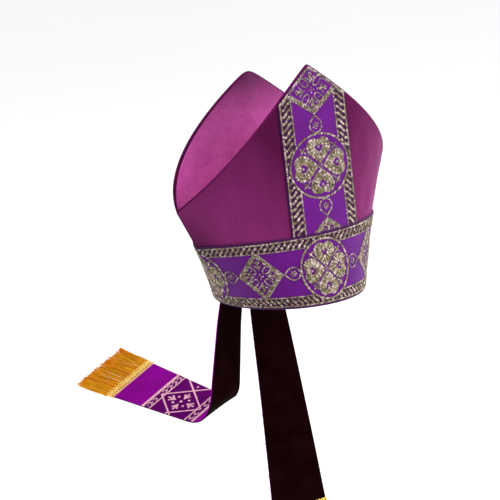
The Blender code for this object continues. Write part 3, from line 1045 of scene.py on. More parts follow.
def model_strand(ply_radius, length, turns, steps):
    """One straight strand along Z from 0 to its length: two plies twisted round each other."""
    deselect()
    bpy.ops.mesh.primitive_cylinder_add(
        vertices=4, radius=ply_radius, depth=length, location=(ply_radius * 0.62, 0, length / 2)
    )
    strand = bpy.context.object
    bpy.ops.object.transform_apply(location=True)
    strand.data.materials.clear()
    bpy.ops.object.mode_set(mode="EDIT")
    bpy.ops.mesh.select_mode(type="EDGE")
    bpy.ops.mesh.select_all(action="DESELECT")
    bpy.ops.object.mode_set(mode="OBJECT")
    corners = strand.data.vertices
    for edge in strand.data.edges:
        first, second = (corners[index].co.z for index in edge.vertices)
        edge.select = abs(first - second) > length / 2
    bpy.ops.object.mode_set(mode="EDIT")
    bpy.ops.mesh.subdivide(number_cuts=steps - 1)
    bpy.ops.mesh.select_all(action="SELECT")
    bpy.ops.mesh.duplicate()
    bpy.ops.transform.rotate(value=math.pi, orient_axis="Z", center_override=(0, 0, 0))
    bpy.ops.mesh.select_all(action="SELECT")
    bpy.ops.mesh.quads_convert_to_tris()
    bpy.ops.object.mode_set(mode="OBJECT")
    twist = strand.modifiers.new("twist", "SIMPLE_DEFORM")
    twist.deform_method = "TWIST"
    twist.deform_axis = "Z"
    twist.angle = turns * 2 * math.pi
    choose(strand)
    bpy.ops.object.modifier_apply(modifier=twist.name)
    return take_mesh(strand)


def lay_strands(name, strand, paths, taper, tone):
    """Copies of one strand, each bent along its own path, as a piece with its own mesh."""
    points, faces = strand
    share = points[:, 2] / points[:, 2].max()
    steps = paths.shape[1]
    along = unit(np.gradient(paths, axis=1))
    side = unit(np.cross(along, np.array([0.31, 0.52, 0.80])))
    other = np.cross(along, side)
    lower = np.clip((share * (steps - 1)).astype(int), 0, steps - 2)
    weight = (share * (steps - 1) - lower)[None, :, None]

    def read(table):
        return table[:, lower] * (1 - weight) + table[:, lower + 1] * weight

    narrow = (1 - taper * share ** 3)[None, :, None]
    placed = read(paths) + read(side) * points[None, :, 0:1] * narrow
    placed += read(other) * points[None, :, 1:2] * narrow
    return add_copies(name, placed, faces, read(tone[..., None])[..., 0])


def feed(socket, value):
    """Link a node's output to a socket, or set the socket to a number, a vector or a colour."""
    if isinstance(value, bpy.types.NodeSocket):
        socket.id_data.links.new(value, socket)
    elif hasattr(value, "__len__"):
        socket.default_value = (*value, 1.0)[:len(socket.default_value)]
    else:
        socket.default_value = value


class Finish:
    """A Principled material, and short ways to add nodes to it."""

    def __init__(self, name, **sockets):
        self.material = bpy.data.materials.new(name)
        self.material.use_nodes = True
        self.tree = self.material.node_tree
        self.shader = self.tree.nodes["Principled BSDF"]
        for socket, value in sockets.items():
            feed(self.shader.inputs[socket.replace("_", " ")], value)

    def add(self, kind, inputs=(), **values):
        """New node, with its own values set and its inputs fed."""
        node = self.tree.nodes.new(kind)
        for key, value in values.items():
            setattr(node, key, value)
        for socket, value in dict(inputs).items():
            feed(node.inputs[socket], value)
        return node

    def object_place(self):
        return self.add("ShaderNodeTexCoord").outputs["Object"]

    def cloth_place(self, along=1.0, across=1.0):
        uv = self.add("ShaderNodeUVMap", uv_map="cloth").outputs[0]
        scale = (along, across, 1)
        return self.add("ShaderNodeMapping", {"Vector": uv, "Scale": scale}).outputs[0]

    def axes(self, vector):
        return self.add("ShaderNodeSeparateXYZ", {"Vector": vector}).outputs

    def tone(self):
        return self.add("ShaderNodeAttribute", attribute_name="tone").outputs["Fac"]

    def noise(self, vector, scale, detail=2.0, roughness=0.5):
        inputs = {"Vector": vector, "Scale": scale, "Detail": detail, "Roughness": roughness}
        return self.add("ShaderNodeTexNoise", inputs).outputs["Fac"]

    def wave(self, vector, scale, direction, distortion=0.0):
        inputs = {"Vector": vector, "Scale": scale, "Distortion": distortion}
        node = self.add("ShaderNodeTexWave", inputs, bands_direction=direction)
        return node.outputs["Fac"]

    def maths(self, operation, *values):
        node = self.add("ShaderNodeMath", dict(enumerate(values)), operation=operation)
        return node.outputs[0]

    def span(self, value, low, high, to_low=0.0, to_high=1.0):
        inputs = {
            "Value": value, "From Min": low, "From Max": high,
            "To Min": to_low, "To Max": to_high,
        }
        return self.add("ShaderNodeMapRange", inputs).outputs[0]

    def blend(self, share, first, second):
        inputs = {0: share, 6: first, 7: second}
        return self.add("ShaderNodeMix", inputs, data_type="RGBA").outputs[2]

    def bump(self, height, distance):
        return self.add("ShaderNodeBump", {"Height": height, "Distance": distance})

    def paint(self, shade):
        feed(self.shader.inputs["Base Color"], shade)

    def gloss(self, value):
        feed(self.shader.inputs["Roughness"], value)

    def relief(self, *bumps):
        for lower, upper in zip(bumps, bumps[1:]):
            feed(upper.inputs["Normal"], lower.outputs[0])
        feed(self.shader.inputs["Normal"], bumps[-1].outputs[0])


def satin_finish(name, colours):
    """Duchess satin: fine warp lines, slow sheen changes and slubs, with painted shade towards the
    tips, beside the orphreys and low by the side seams, weaker on the wearer's left.
    """
    finish = Finish(
        name, Roughness=0.44, IOR=1.30, Specular_IOR_Level=0.07, Specular_Tint=colours.satin_gloss,
        Sheen_Weight=0.18, Sheen_Roughness=0.32, Sheen_Tint=colours.satin_gloss,
    )
    place = finish.object_place()
    threads = finish.wave(finish.cloth_place(), 900.0, "X", 1.5)
    slow = finish.noise(place, 9.0, 3.0)
    slubs = finish.noise(finish.cloth_place(400.0, 24.0), 1.0, 3.0)
    share = finish.maths("ADD", finish.span(slow, 0.3, 0.7, 0.25, 0.75),
                         finish.span(slubs, 0.35, 0.75, 0.0, 0.25))
    axes = finish.axes(place)
    cloth = finish.blend(share, colours.satin_deep, colours.satin)
    # Painted shade: darker beside the orphreys, low near the side seams and towards the tips, less
    # on the wearer's left
    beside = finish.span(finish.maths("ABSOLUTE", axes[0]), 0.045, 0.105, 0.42, 0.0)
    seam = finish.span(finish.maths("ABSOLUTE", axes[1]), 0.012, 0.046, 0.75, 0.0)
    seam = finish.maths("MULTIPLY", seam, finish.span(axes[2], 0.085, 0.125, 1.0, 0.1))
    dark = finish.maths("ADD", beside, finish.span(axes[2], 0.09, 0.22, 0.0, 0.80))
    dark = finish.maths("ADD", dark, seam)
    dark = finish.maths("MULTIPLY", dark, finish.span(axes[0], -0.02, 0.05, 1.0, 0.75))
    finish.paint(finish.blend(dark, cloth, colours.satin_peak))
    finish.gloss(finish.span(slubs, 0.2, 0.8, 0.36, 0.46))
    finish.relief(finish.bump(threads, 0.00003), finish.bump(slow, 0.0008))
    return finish.material


def lining_finish(name, bright, deep, peak):
    """Napped lining: soft mottling and a fine even grain, with painted shade high in the back horn.
    """
    finish = Finish(
        name, Roughness=0.62, Specular_IOR_Level=0.10,
        Sheen_Weight=0.10, Sheen_Roughness=0.45, Sheen_Tint=bright,
    )
    place = finish.object_place()
    cloud = finish.noise(place, 85.0, 5.0, 0.7)
    grain = finish.noise(place, 700.0, 3.0, 0.6)
    share = finish.maths("ADD", finish.span(cloud, 0.30, 0.70, 0.1, 0.6),
                         finish.span(grain, 0.35, 0.65, 0.0, 0.38))
    height = finish.axes(place)[2]
    mottled = finish.blend(share, deep, bright)
    # Painted shade: the cloth turns to its peak colour with height
    finish.paint(finish.blend(finish.span(height, 0.165, 0.258), mottled, peak))
    finish.relief(finish.bump(grain, 0.0001), finish.bump(cloud, 0.0006))
    return finish.material


def ground_finish(name, colours, border, repeat):
    """Galloon's ribbed violet ground, dark under its twisted borders, partly as painted shade
    between the raised gold strokes.
    """
    bright, deep = colours.ground, colours.ground_deep
    finish = Finish(
        name, Roughness=0.46, Specular_IOR_Level=0.15, Specular_Tint=colours.ground_gloss,
        Sheen_Weight=0.05, Sheen_Roughness=0.4,
    )
    uv = finish.axes(finish.cloth_place())
    rib = finish.wave(finish.cloth_place(), 560.0, "X")
    weft = finish.wave(finish.cloth_place(), 900.0, "Y")
    cloud = finish.noise(finish.object_place(), 60.0, 3.0)
    edge = finish.maths("ABSOLUTE", uv[1])
    past_inner = finish.span(edge, border.inner - 0.0003, border.inner + 0.0003)
    before_outer = finish.span(edge, border.outer - 0.0003, border.outer + 0.0003, 1.0, 0.85)
    from_ring = finish.maths("SUBTRACT", uv[0], repeat.ring)
    wrapped = finish.maths("WRAP", from_ring, repeat.step, -repeat.step)
    beside = finish.maths("ABSOLUTE", wrapped)
    ring_u = finish.maths("POWER", finish.maths("DIVIDE", beside, repeat.ring_along), 2.0)
    ring_v = finish.maths("POWER", finish.maths("DIVIDE", edge, repeat.ring_across), 2.0)
    outside_ring = finish.span(finish.maths("ADD", ring_u, ring_v), 0.98, 1.0)
    diamond_u = finish.maths("SUBTRACT", repeat.step, beside)
    diamond_u = finish.maths("DIVIDE", diamond_u, repeat.diamond_along)
    diamond_v = finish.maths("DIVIDE", edge, repeat.diamond_across)
    outside_diamond = finish.span(finish.maths("ADD", diamond_u, diamond_v), 0.98, 1.0)
    # Painted shade in part: the border zone and selvage turn to the deep ground
    border_shade_share = finish.maths("MULTIPLY", past_inner, before_outer)
    border_shade_share = finish.maths("MULTIPLY", border_shade_share, outside_ring)
    border_shade_share = finish.maths("MULTIPLY", border_shade_share, outside_diamond)
    lively = finish.blend(finish.span(cloud, 0.3, 0.7, 0.0, 0.28), bright, deep)
    lively = finish.blend(finish.maths("MULTIPLY", rib, 0.16), lively, deep)
    finish.paint(finish.blend(border_shade_share, lively, deep))
    finish.relief(finish.bump(rib, 0.00012), finish.bump(weft, 0.00005))
    return finish.material


def thread_finish(name, middle, light, worn, metallic, roughness):
    """Wrapped thread: each stitch has its own tone, with fine glints across it."""
    finish = Finish(name, Metallic=metallic, Roughness=roughness)
    tone = finish.tone()
    grain = finish.noise(finish.object_place(), 1700.0, 2.0)
    patch = finish.noise(finish.object_place(), 160.0, 2.0)
    base = finish.blend(finish.span(tone, 0.0, 0.55), worn, middle)
    base = finish.blend(finish.span(tone, 0.62, 1.0), base, light)
    finish.paint(finish.blend(finish.span(patch, 0.45, 0.75, 0.0, 0.45), base, worn))
    finish.gloss(finish.span(grain, 0.3, 0.7, roughness - 0.08, roughness + 0.14))
    finish.relief(finish.bump(grain, 0.0002))
    return finish.material


def lappet_finish(name, bright, deep, gloss, low, high):
    """Lappet's face: vivid satin, darker where the lattice is woven."""
    finish = Finish(
        name, Roughness=0.46, IOR=1.2, Specular_IOR_Level=0.04, Specular_Tint=gloss,
        Sheen_Weight=0.05, Sheen_Roughness=0.4, Sheen_Tint=gloss,
    )
    uv = finish.axes(finish.cloth_place())
    after = finish.span(uv[0], low - 0.0004, low + 0.0004)
    before = finish.span(uv[0], high - 0.0004, high + 0.0004, 1.0, 0.0)
    zone = finish.maths("MULTIPLY", after, before)
    cloud = finish.noise(finish.object_place(), 34.0, 3.0)
    rib = finish.wave(finish.cloth_place(), 700.0, "X")
    plain = finish.blend(finish.span(cloud, 0.35, 0.7, 0.0, 0.35), bright, deep)
    woven = finish.blend(finish.maths("MULTIPLY", rib, 0.3), deep, bright)
    finish.paint(finish.blend(zone, plain, woven))
    finish.relief(finish.bump(rib, 0.00008), finish.bump(cloud, 0.001))
    return finish.material


def plain_weave_finish(name, shade, roughness, lift):
    """Plain cloth with warp and weft, in one colour that varies a little."""
    finish = Finish(name, Roughness=roughness, IOR=1.15, Specular_IOR_Level=0.04)
    light = [min(level * lift + 0.001, 1.0) for level in shade]
    warp = finish.wave(finish.object_place(), 480.0, "X")
    weft = finish.wave(finish.object_place(), 480.0, "Z")
    cloud = finish.noise(finish.object_place(), 45.0, 3.0)
    finish.paint(finish.blend(finish.span(cloud, 0.3, 0.7), shade, light))
    finish.relief(finish.bump(warp, 0.00006), finish.bump(weft, 0.00006))
    return finish.material


def fringe_finish(name, amber, orange, light):
    """Twisted rayon strands, amber above and orange at their tips."""
    finish = Finish(
        name, Metallic=0.06, Roughness=0.46, Specular_IOR_Level=0.12, Specular_Tint=light
    )
    tone = finish.tone()
    grain = finish.noise(finish.object_place(), 900.0, 2.0)
    shadow = [level * 0.72 for level in orange]
    shade = finish.blend(finish.span(tone, -0.45, 0.15), shadow, amber)
    shade = finish.blend(finish.span(tone, 0.25, 1.0), shade, orange)
    shade = finish.blend(finish.span(grain, 0.55, 0.8, 0.0, 0.18), shade, light)
    finish.paint(finish.blend(finish.span(tone, 1.2, 1.8), shade, light))
    finish.relief(finish.bump(grain, 0.0002))
    return finish.material


def floor_finish(name, shade):
    finish = Finish(name, Roughness=0.85)
    grain = finish.noise(finish.object_place(), 3.0, 2.0)
    darker = [level * 0.97 for level in shade]
    finish.paint(finish.blend(grain, shade, darker))
    return finish.material


def panel_ripple(crown, side, s, z, top):
    """Slight unevenness of a panel, none under its galloons or at its edges."""
    galloon = settings().galloon
    arc = np.abs(crown.outer(side, s, z)[..., 0])
    clear = smooth_step((arc - galloon.orphrey_width / 2 - 0.002) / 0.02)
    clear = clear * smooth_step((z - crown.band_top(side, s) - 0.002) / 0.02)
    clear = clear * smooth_step((top - z) / 0.02) * smooth_step((1 - np.abs(s)) / 0.08)
    wave = np.sin(31 * s + 2.1 * side) * np.cos(z * 46 + 3 * s) + 0.6 * np.sin(17 * s - z * 80)
    return clear * wave * 0.0005


# A panel's cloth is cut a little taller than its horn
CUT_ALLOWANCE = 1.02


def build_panel(crown, side):
    """One stiffened satin panel with its rolled edge."""
    shape = crown.shape
    s = np.linspace(side, -side, 161)[:, None]
    top = crown.fibre_height(side, s)
    share = np.concatenate([np.linspace(0, 0.9, 40), np.linspace(0.9, 1, 9)[1:]])[None, :]
    z = top * share
    ripple = panel_ripple(crown, side, s + 0 * z, z, top)
    push = crown.outward(side, s + 0 * z, z) * ripple[..., None]
    face = crown.seamed(side, s + 0 * z, z, 0.0) + push
    back = crown.seamed(side, s + 0 * z, z, shape.panel_wall) + push
    uv = np.stack(np.broadcast_arrays(s * length_of(face[:, -1]) / 2, z), axis=-1)
    name = SIDES[side]
    panel = add_cloth(f"{name}_panel_satin", face, back, uv)
    round_hems(panel, 0.0006)
    satin = satin_finish(f"{name} satin", settings().colours)
    dress(panel, satin, [f"{name}_panel"])
    roll = build_edge_roll(crown, side)
    corners = crown.outer(side, s, 0 * s + shape.corner_height)[:, 0]
    cut = (length_of(corners), float(crown.horn(side)) * CUT_ALLOWANCE)


def build_edge_roll(crown, side):
    """Rolled cord sewn along a horn's cut edge."""
    shape = crown.shape
    t = np.linspace(-1, 1, 241)
    s = np.sign(t) * np.abs(t) ** 1.4
    z = crown.fibre_height(side, s)
    path = crown.seamed(side, s, z, shape.panel_wall / 2)
    return piping_cord(f"{SIDES[side]}_edge_roll", path, shape.piping_radius, 0.07)


# Steps from the gusset's middle to its end, and its rough size for the weave
GUSSET_HALF_STEPS = 60
GUSSET_GIRTH = 0.30
GUSSET_HALF_WIDTH = 0.14


def build_gusset(crown):
    """Folding cloth between the horns, two leaves that meet in a valley."""
    colours = settings().colours
    shape = crown.shape
    s = np.linspace(-shape.gusset_reach, shape.gusset_reach, 2 * GUSSET_HALF_STEPS + 1)
    depth = shape.panel_wall + shape.gap + shape.lining_wall
    drop = shape.valley_drop + (shape.valley_end_drop - shape.valley_drop) * s * s
    z = shape.corner_height - drop
    reach = crown.seamed(FRONT, 1.0 + 0 * s, z, depth)[..., 0]
    valley = np.stack([s / shape.gusset_reach * reach, 0 * s, z], axis=-1)
    rows = []
    for side, steps in ((FRONT, np.linspace(0, 1, 25)), (BACK, np.linspace(1, 0, 25)[1:])):
        edge = crown.seamed(side, s, crown.fibre_height(side, s), depth)
        for step in steps:
            row = edge + (valley - edge) * step
            middle = math.sin(math.pi * step)
            crease = 0.0009 * np.sin(s * 23 + 5 * step + side) * middle * (1 - s * s)
            row[:, 2] -= shape.leaf_sag * middle
            row[:, 1] -= side * crease
            rows.append(row)
    face = np.stack(rows)
    normal = unit(np.cross(np.gradient(face, axis=1), np.gradient(face, axis=0)))
    normal = normal * np.sign(normal[..., 2:].mean())
    back = face - normal * shape.lining_wall
    lengths = np.linspace(0, 1, face.shape[0])[:, None] * GUSSET_GIRTH
    uv = np.stack(np.broadcast_arrays(lengths, s[None, :] * GUSSET_HALF_WIDTH), axis=-1)
    gusset = add_cloth("crown_gusset_lining", face, back, uv)
    round_hems(gusset, 0.0003, 1)
    lining = lining_finish("gusset lining", colours.lining, colours.lining_deep,
                           colours.lining_peak)
    dress(gusset, lining, ["crown_gusset"])


def gold_finish():
    """The one gold thread of all galloons."""
    colours = settings().colours
    found = bpy.data.materials.get("gold thread")
    if found:
        return found
    # Random stitches take a painted glint in light gold and painted shade in deep gold
    return thread_finish("gold thread", colours.gold, colours.gold_glint, colours.gold_deep_shade,
                         metallic=0.60, roughness=0.36)


def add_galloon(name, face, back, uv, kind, repeat, looped=False):
    """A galloon's cloth in its ribbed ground; kind is band or orphrey."""
    cloth = add_cloth(f"{name}_galloon", face, back, uv, looped)
    round_hems(cloth, 0.0004)
    border = border_of(settings().galloon, kind)
    ground = f"{name} ground".replace("_", " ")
    finish = ground_finish(ground, settings().colours, border, repeat)
    dress(cloth, finish, [name])
    return cloth, border


def sew_gold(name, strip, bead, **layers):
    """A galloon's layers of gold stitches, each its own piece."""
    return [
        sew(f"{name}_{layer}", strip, rows, bead, gold_finish())
        for layer, rows in layers.items()
    ]


# Room kept free of the borders round a ring, as a share of its rope's thickness
RING_CLEARANCE = 0.7


def build_band(crown, bead):
    """Galloon round the rim with its borders and figures."""
    galloon = settings().galloon
    width = galloon.band_width
    v = np.linspace(-width / 2, width / 2, 13)
    u, face = band_ring(crown, v, crown.galloon_face)
    _, back = band_ring(crown, v, crown.galloon_back)
    uv = np.stack(np.broadcast_arrays(u[:, None], v[None, :]), axis=-1)
    repeat = band_repeat(galloon)
    band, border = add_galloon("head_band", face[:-1], back[:-1], uv, "band", repeat, looped=True)

    v = np.linspace(-width / 2, width / 2, 9)
    strip = Strip(u, v, band_ring(crown, v, crown.galloon_face)[1])
    half = float(u[-1])
    rings = [repeat.ring + 2 * repeat.step * i for i in (-1, 0, 1)]
    diamonds = [repeat.ring + repeat.step * i for i in (-3, -1, 1, 3)]
    joined = (diamonds[0] + diamonds[-1]) / 2 + half
    squeeze = (repeat.ring_along / galloon.ring_radius, 1.0)
    clear = galloon.ring_rope * RING_CLEARANCE
    braid = borders(galloon, -half, half, border)
    middles = [*rings, joined, joined - 2 * half]
    ring_reach = (repeat.ring_along + clear, repeat.ring_across + clear)
    braid = outside(braid, np.hypot, middles, *ring_reach)
    braid = outside(braid, np.add, diamonds, repeat.diamond_along, repeat.diamond_across)
    figures = [moved(roundel(galloon), middle, stretch=squeeze) for middle in (*rings, joined)]
    figures += [moved(diamond(galloon), middle) for middle in diamonds]
    for ring in rings:
        figures += drops(galloon, galloon.band_drop, repeat, ring)
    figures = np.concatenate(figures)
    figures[:, 0] = (figures[:, 0] + half) % (2 * half) - half
    sewn = sew_gold("band", strip, bead, braid=braid, figures=figures)


def build_orphrey(crown, side, bead):
    """Upright galloon of one horn with its borders and figures."""
    galloon = settings().galloon
    name = f"{SIDES[side]}_orphrey"
    width = galloon.orphrey_width
    v = np.linspace(-width / 2, width / 2, 33)
    start, end = orphrey_limits(crown, side, v)
    share = np.linspace(0, 1, 61)[:, None]
    u = start + (end - start) * share
    v_grid = v + 0 * u
    face = orphrey_points(crown, side, u, v_grid, crown.galloon_face)
    back = orphrey_points(crown, side, u, v_grid, crown.galloon_back)
    uv = np.stack([u, v_grid], axis=-1)
    repeat = orphrey_repeat(galloon)
    orphrey, border = add_galloon(name, face, back, uv, "orphrey", repeat)

    lengths = np.linspace(-0.002, crown.horn(side) - crown.band_width * 0.94, 90)[:, None]
    across = np.linspace(-width / 2, width / 2, 17)[None, :]
    points = orphrey_points(
        crown, side, lengths + 0 * across, across + 0 * lengths, crown.galloon_face
    )
    strip = Strip(lengths[:, 0], across[0], points)
    ring = repeat.ring
    top = ring - repeat.step
    low = ring + repeat.step

    def trimmed(rows, margin):
        """Stitches clear of the cut edge above and of the band below."""
        first = np.interp(rows[:, 1], v, start)
        last = np.interp(rows[:, 1], v, end)
        inside = (rows[:, 0] > first + margin) & (rows[:, 0] < last - 0.0004)
        return rows[inside]

    clear = galloon.ring_rope * RING_CLEARANCE
    braid = borders(galloon, 0.0, float(end.max()), border)
    ring_reach = (repeat.ring_along + clear, repeat.ring_across + clear)
    braid = outside(braid, np.hypot, [ring], *ring_reach)
    wider = repeat.diamond_across * 1.06
    braid = outside(braid, np.add, [top, low], repeat.diamond_along, wider)
    above = (braid[:, 0] < top) & (np.abs(braid[:, 1]) < repeat.diamond_across)
    braid = trimmed(braid[~above], 0.0036)
    edge_lines = []
    for inset, thickness, every in ((0.0015, 1.15, 1), (0.0032, 0.8, 2)):
        line = np.stack([start + inset * 1.25, v * (1 - inset / width)], axis=-1)
        edge_lines.append(rope(line, galloon.rope * thickness)[::every])
    spread = (galloon.orphrey_along, galloon.orphrey_across)
    wide = (galloon.orphrey_along, galloon.orphrey_across * 1.12)
    top_lozenge = moved(lozenge(galloon), top, stretch=wide)
    figures = [
        trimmed(top_lozenge[top_lozenge[:, 0] > top + 0.002], 0.0034),
        moved(rosette(galloon), top, stretch=spread),
        moved(roundel(galloon), ring, stretch=spread),
        moved(diamond(galloon), low, stretch=spread),
        *drops(galloon, galloon.orphrey_drop, repeat, ring),
    ]
    figures = trimmed(np.concatenate(figures), 0.0006)
    braid = np.concatenate([braid, trimmed(np.concatenate(edge_lines), 0.0008)])
    sewn = sew_gold(name, strip, bead, braid=braid, figures=figures)


def lappet_figures(lappet, width_at):
    """Bars, florets and lattice of a lappet, u from the figure's middle towards the fringe."""
    parts = []
    for end in (-1, 1):
        bar = end * lappet.bar_reach
        thin = end * lappet.line_reach
        for at, thick in ((bar, lappet.bar_width), (thin, lappet.line_width)):
            half = width_at(at) / 2 - 0.0012
            line = [(at, -half - lappet.figure_shift), (at, half - lappet.figure_shift)]
            parts.append(satin_line(line, thick, EVEN))
        row = (bar - end * lappet.bar_width / 2 + thin + end * lappet.line_width / 2) / 2
        half = width_at(row) / 2 - 0.004
        count = int(2 * half / 0.0088)
        for i in range(count):
            at = -half + (i + 0.5) * 2 * half / count - lappet.figure_shift
            if abs(at) < 0.0055:
                continue
            loop = oval(0.0026, 0.0026, 20)[:15]
            parts.append(moved(rope(loop, thickness=0.0016), row, at, degrees=60 + 90 * end))
            parts.append(moved(knot(0.0017), row, at + 0.0044))
    parts.append(lattice(lappet, width_at))
    lengthwise = moved(fleur_bold(0.0124), along=0.0098)
    crosswise = moved(fleur_bold(0.0112), along=0.0054)
    for quarter, prongs in enumerate((lengthwise, crosswise) * 2):
        parts.append(moved(prongs, degrees=90 * quarter))
        sides = (1 if quarter in (0, 3) else -1, 1 if quarter in (0, 1) else -1)
        parts.append(knot(0.0036, sides[0] * 0.0088, sides[1] * 0.0060))
    parts.append(knot(0.0042))
    return np.concatenate(parts)


def fleur_bold(length):
    """Three thick prongs that open along +u."""
    parts = [satin_line([(0, 0), (length, 0)], width=0.0030)]
    for bend in (-length, length):
        parts.append(satin_line([(length * 0.16, 0), (length * 0.70, bend * 0.40)], width=0.0028))
    return np.concatenate(parts)


def lattice(lappet, width_at):
    """Diamond whose sides run on to the cloth's edges, with one knot beyond a corner."""
    along, across = lappet.lattice_along, lappet.lattice_across
    parts = []
    for way_u in (-1, 1):
        for way_v in (-1, 1):
            edge = width_at(0) / 2 - 0.0016 - way_v * lappet.figure_shift
            past = max(edge / across - 1, 0)
            line = [(way_u * along, 0), (-way_u * along * past, way_v * across * (1 + past))]
            parts.append(satin_line(line, width=0.0025, pitch=EVEN))
    edge = width_at(0) / 2 + lappet.figure_shift
    parts.append(knot(0.0028, across=-(across + edge) / 2))
    return np.concatenate(parts)


def build_lappet(crown, hand, bead):
    """One lappet: decorated face, dark lining with painted shade, embroidery and fringe."""
    lappet = settings().lappet
    colours = settings().colours
    hanging = Hanging(crown, hand)
    name = hanging.name
    lengths = np.linspace(0, lappet.length, 141)
    fractions = np.linspace(-0.5, 0.5, 25)
    uv_u = np.concatenate([[-lappet.seat], lengths])[:, None]
    uv = np.stack(np.broadcast_arrays(uv_u, fractions[None, :] * lappet.end_width), axis=-1)
    cloths = {}
    for part, depth in (("face", 0.0), ("lining", lappet.wall + crown.shape.gap)):
        outer = hanging.cloth(lengths, fractions, depth)
        inner = hanging.cloth(lengths, fractions, depth + lappet.wall)
        cloth = add_cloth(f"{name}_lappet_{part}_cloth", outer, inner, uv)
        round_hems(cloth, 0.0003)
        cloths[part] = (cloth, grid_area(outer))
    middle = lappet.length - lappet.figure_rise
    zone = lappet.bar_reach
    face_finish = lappet_finish(f"{name} lappet face", colours.lappet, colours.lappet_deep,
                                colours.lappet_gloss, middle - zone, middle + zone)
    # The lining's colour is dark wine deepened with painted shade
    shaded_wine = plain_weave_finish(f"{name} lappet lining", colours.shaded_wine, roughness=0.6, lift=1.7)
    dress(cloths["face"][0], face_finish, [f"{name}_lappet_face"])
    dress(cloths["lining"][0], shaded_wine, [f"{name}_lappet_lining"])

    u = np.linspace(middle - 0.06, lappet.length + 0.012, 80)
    v = np.linspace(-0.06, 0.06, 9)
    centre, _, across, _ = hanging.read(u)
    strip = Strip(u, v, centre[:, None] - across[:, None] * v[None, :, None])

    def width_at(from_middle):
        return float(hanging.width(np.array(middle + from_middle)))

    rows = moved(lappet_figures(lappet, width_at), middle, lappet.figure_shift)
    light = [min(level * 1.12, 1.0) for level in colours.thread]
    worn = [level * 0.78 for level in colours.thread]
    thread = f"{name} lappet thread"
    finish = thread_finish(thread, colours.thread, light, worn, metallic=0.05, roughness=0.42)
    figures = sew(f"{name}_lappet_figures", strip, rows, bead, finish)
    fringe = build_fringe(hanging, strip, bead)


# A fringe hangs in three layers; a few of each layer's strands are short, and a few pale
LAYERS = (-1, 0, 1)
LAYER_SHIFT = 0.33
LAYER_DEPTH = 0.0010
STRAND_REACH = (0.93, 1.0)
SHORT_STRANDS = 4
SHORT_SHARE = 0.88
PALE_STRANDS = 3
PALE_TONE = 1.7
STRAND_TAPER = 0.18
TUCK = 0.002


def build_fringe(hanging, strip, bead):
    """Looped heading over the lappet's end, and twisted strands below it."""
    lappet = hanging.lappet
    colours = settings().colours
    name = f"{hanging.name}_fringe"
    rng = np.random.default_rng(SEEDS[f"{name}_strands"])
    count = lappet.strands
    length = lappet.strand_length
    t = np.linspace(0, 1, 24)
    end, along, across, out = (rows[0] for rows in hanging.read(np.array([lappet.length])))
    total = lappet.heading_depth + length
    layers = []
    for layer in LAYERS:
        x = (np.arange(count) + 0.5 + LAYER_SHIFT * layer) / count - 0.5
        x = x * (lappet.end_width - 0.0016) + rng.normal(0, 0.0002, count)
        reach = length * rng.uniform(*STRAND_REACH, count)
        reach[rng.integers(0, count, SHORT_STRANDS)] *= SHORT_SHARE
        below = lappet.heading_depth - TUCK + (reach + TUCK)[:, None] * t
        spread = 1 + (lappet.spread - 1) * below / total
        sway = rng.normal(0, 0.0011, (count, 1)) * np.sin(t * 2.6 + rng.uniform(0, 6, (count, 1)))
        lift = rng.normal(0, 0.0010, (count, 1)) * t ** 1.5
        ripple = 0.0004 * np.sin(t * 5 + rng.uniform(0, 6, (count, 1)))
        depth = layer * LAYER_DEPTH + lift + ripple
        place_across = x[:, None] * spread + sway
        paths = end + along * below[..., None] + across * place_across[..., None]
        paths = paths - out * (lappet.wall + hanging.crown.shape.gap / 2 + depth)[..., None]
        shade = np.clip(t * 0.75 + rng.normal(-0.05, 0.34, (count, 1)), -0.5, 1)
        shade[rng.integers(0, count, PALE_STRANDS)] = PALE_TONE
        layers.append((paths, shade))
    paths = np.concatenate([layer[0] for layer in layers])
    shade = np.concatenate([layer[1] for layer in layers])
    strand = model_strand(lappet.strand_radius, length, lappet.strand_turns, 20)
    strands = lay_strands(f"{name}_strands", strand, paths, STRAND_TAPER, shade)
    finish = fringe_finish(f"{hanging.name} fringe", colours.amber, colours.orange, colours.cream)
    dress(strands, finish, [name])
    return [strands, *build_heading(hanging, strip, bead)]


def build_heading(hanging, strip, bead):
    """Braided heading on both faces of a lappet's end."""
    lappet = hanging.lappet
    colours = settings().colours
    name = hanging.name
    half = lappet.end_width / 2
    start = lappet.length - lappet.heading_lap
    stop = lappet.length + lappet.heading_depth
    loops = []
    for row, at in enumerate(np.arange(start + 0.0018, stop, 0.0033)):
        t = np.linspace(-half + 0.0006, half - 0.0006, 300)
        wavy = at + 0.0012 * np.sin(t / 0.0042 * 2 * np.pi + row * math.pi)
        loops.append(rope(np.stack([wavy, t], axis=-1), thickness=0.0016))
    loops = np.concatenate(loops)
    light = [min(level * 1.3 + 0.08, 1.0) for level in colours.heading]
    finish = thread_finish(f"{name} heading thread", colours.heading, light, colours.amber,
                           metallic=0.05, roughness=0.42)
    pale = thread_finish(f"{name} heading edge", colours.thread, colours.gold_glint,
                         colours.amber, metallic=0.2, roughness=0.4)
    edge = satin_line([(start, -half), (start, half)], width=0.0016, pitch=EVEN)
    under = under_strip(hanging, strip)
    return [
        sew(f"{name}_heading_front", strip, loops, bead, finish),
        sew(f"{name}_heading_back", under, loops, bead, finish),
        sew(f"{name}_heading_edge", strip, edge, bead, pale),
    ]


def under_strip(hanging, strip):
    """The lining's outer face, run the other way across, so that it faces out."""
    centre, _, across, out = hanging.read(strip.u)
    depth = 2 * hanging.lappet.wall + hanging.crown.shape.gap
    points = centre[:, None] + across[:, None] * strip.v[None, :, None] - out[:, None] * depth
    return Strip(strip.u, strip.v, points)


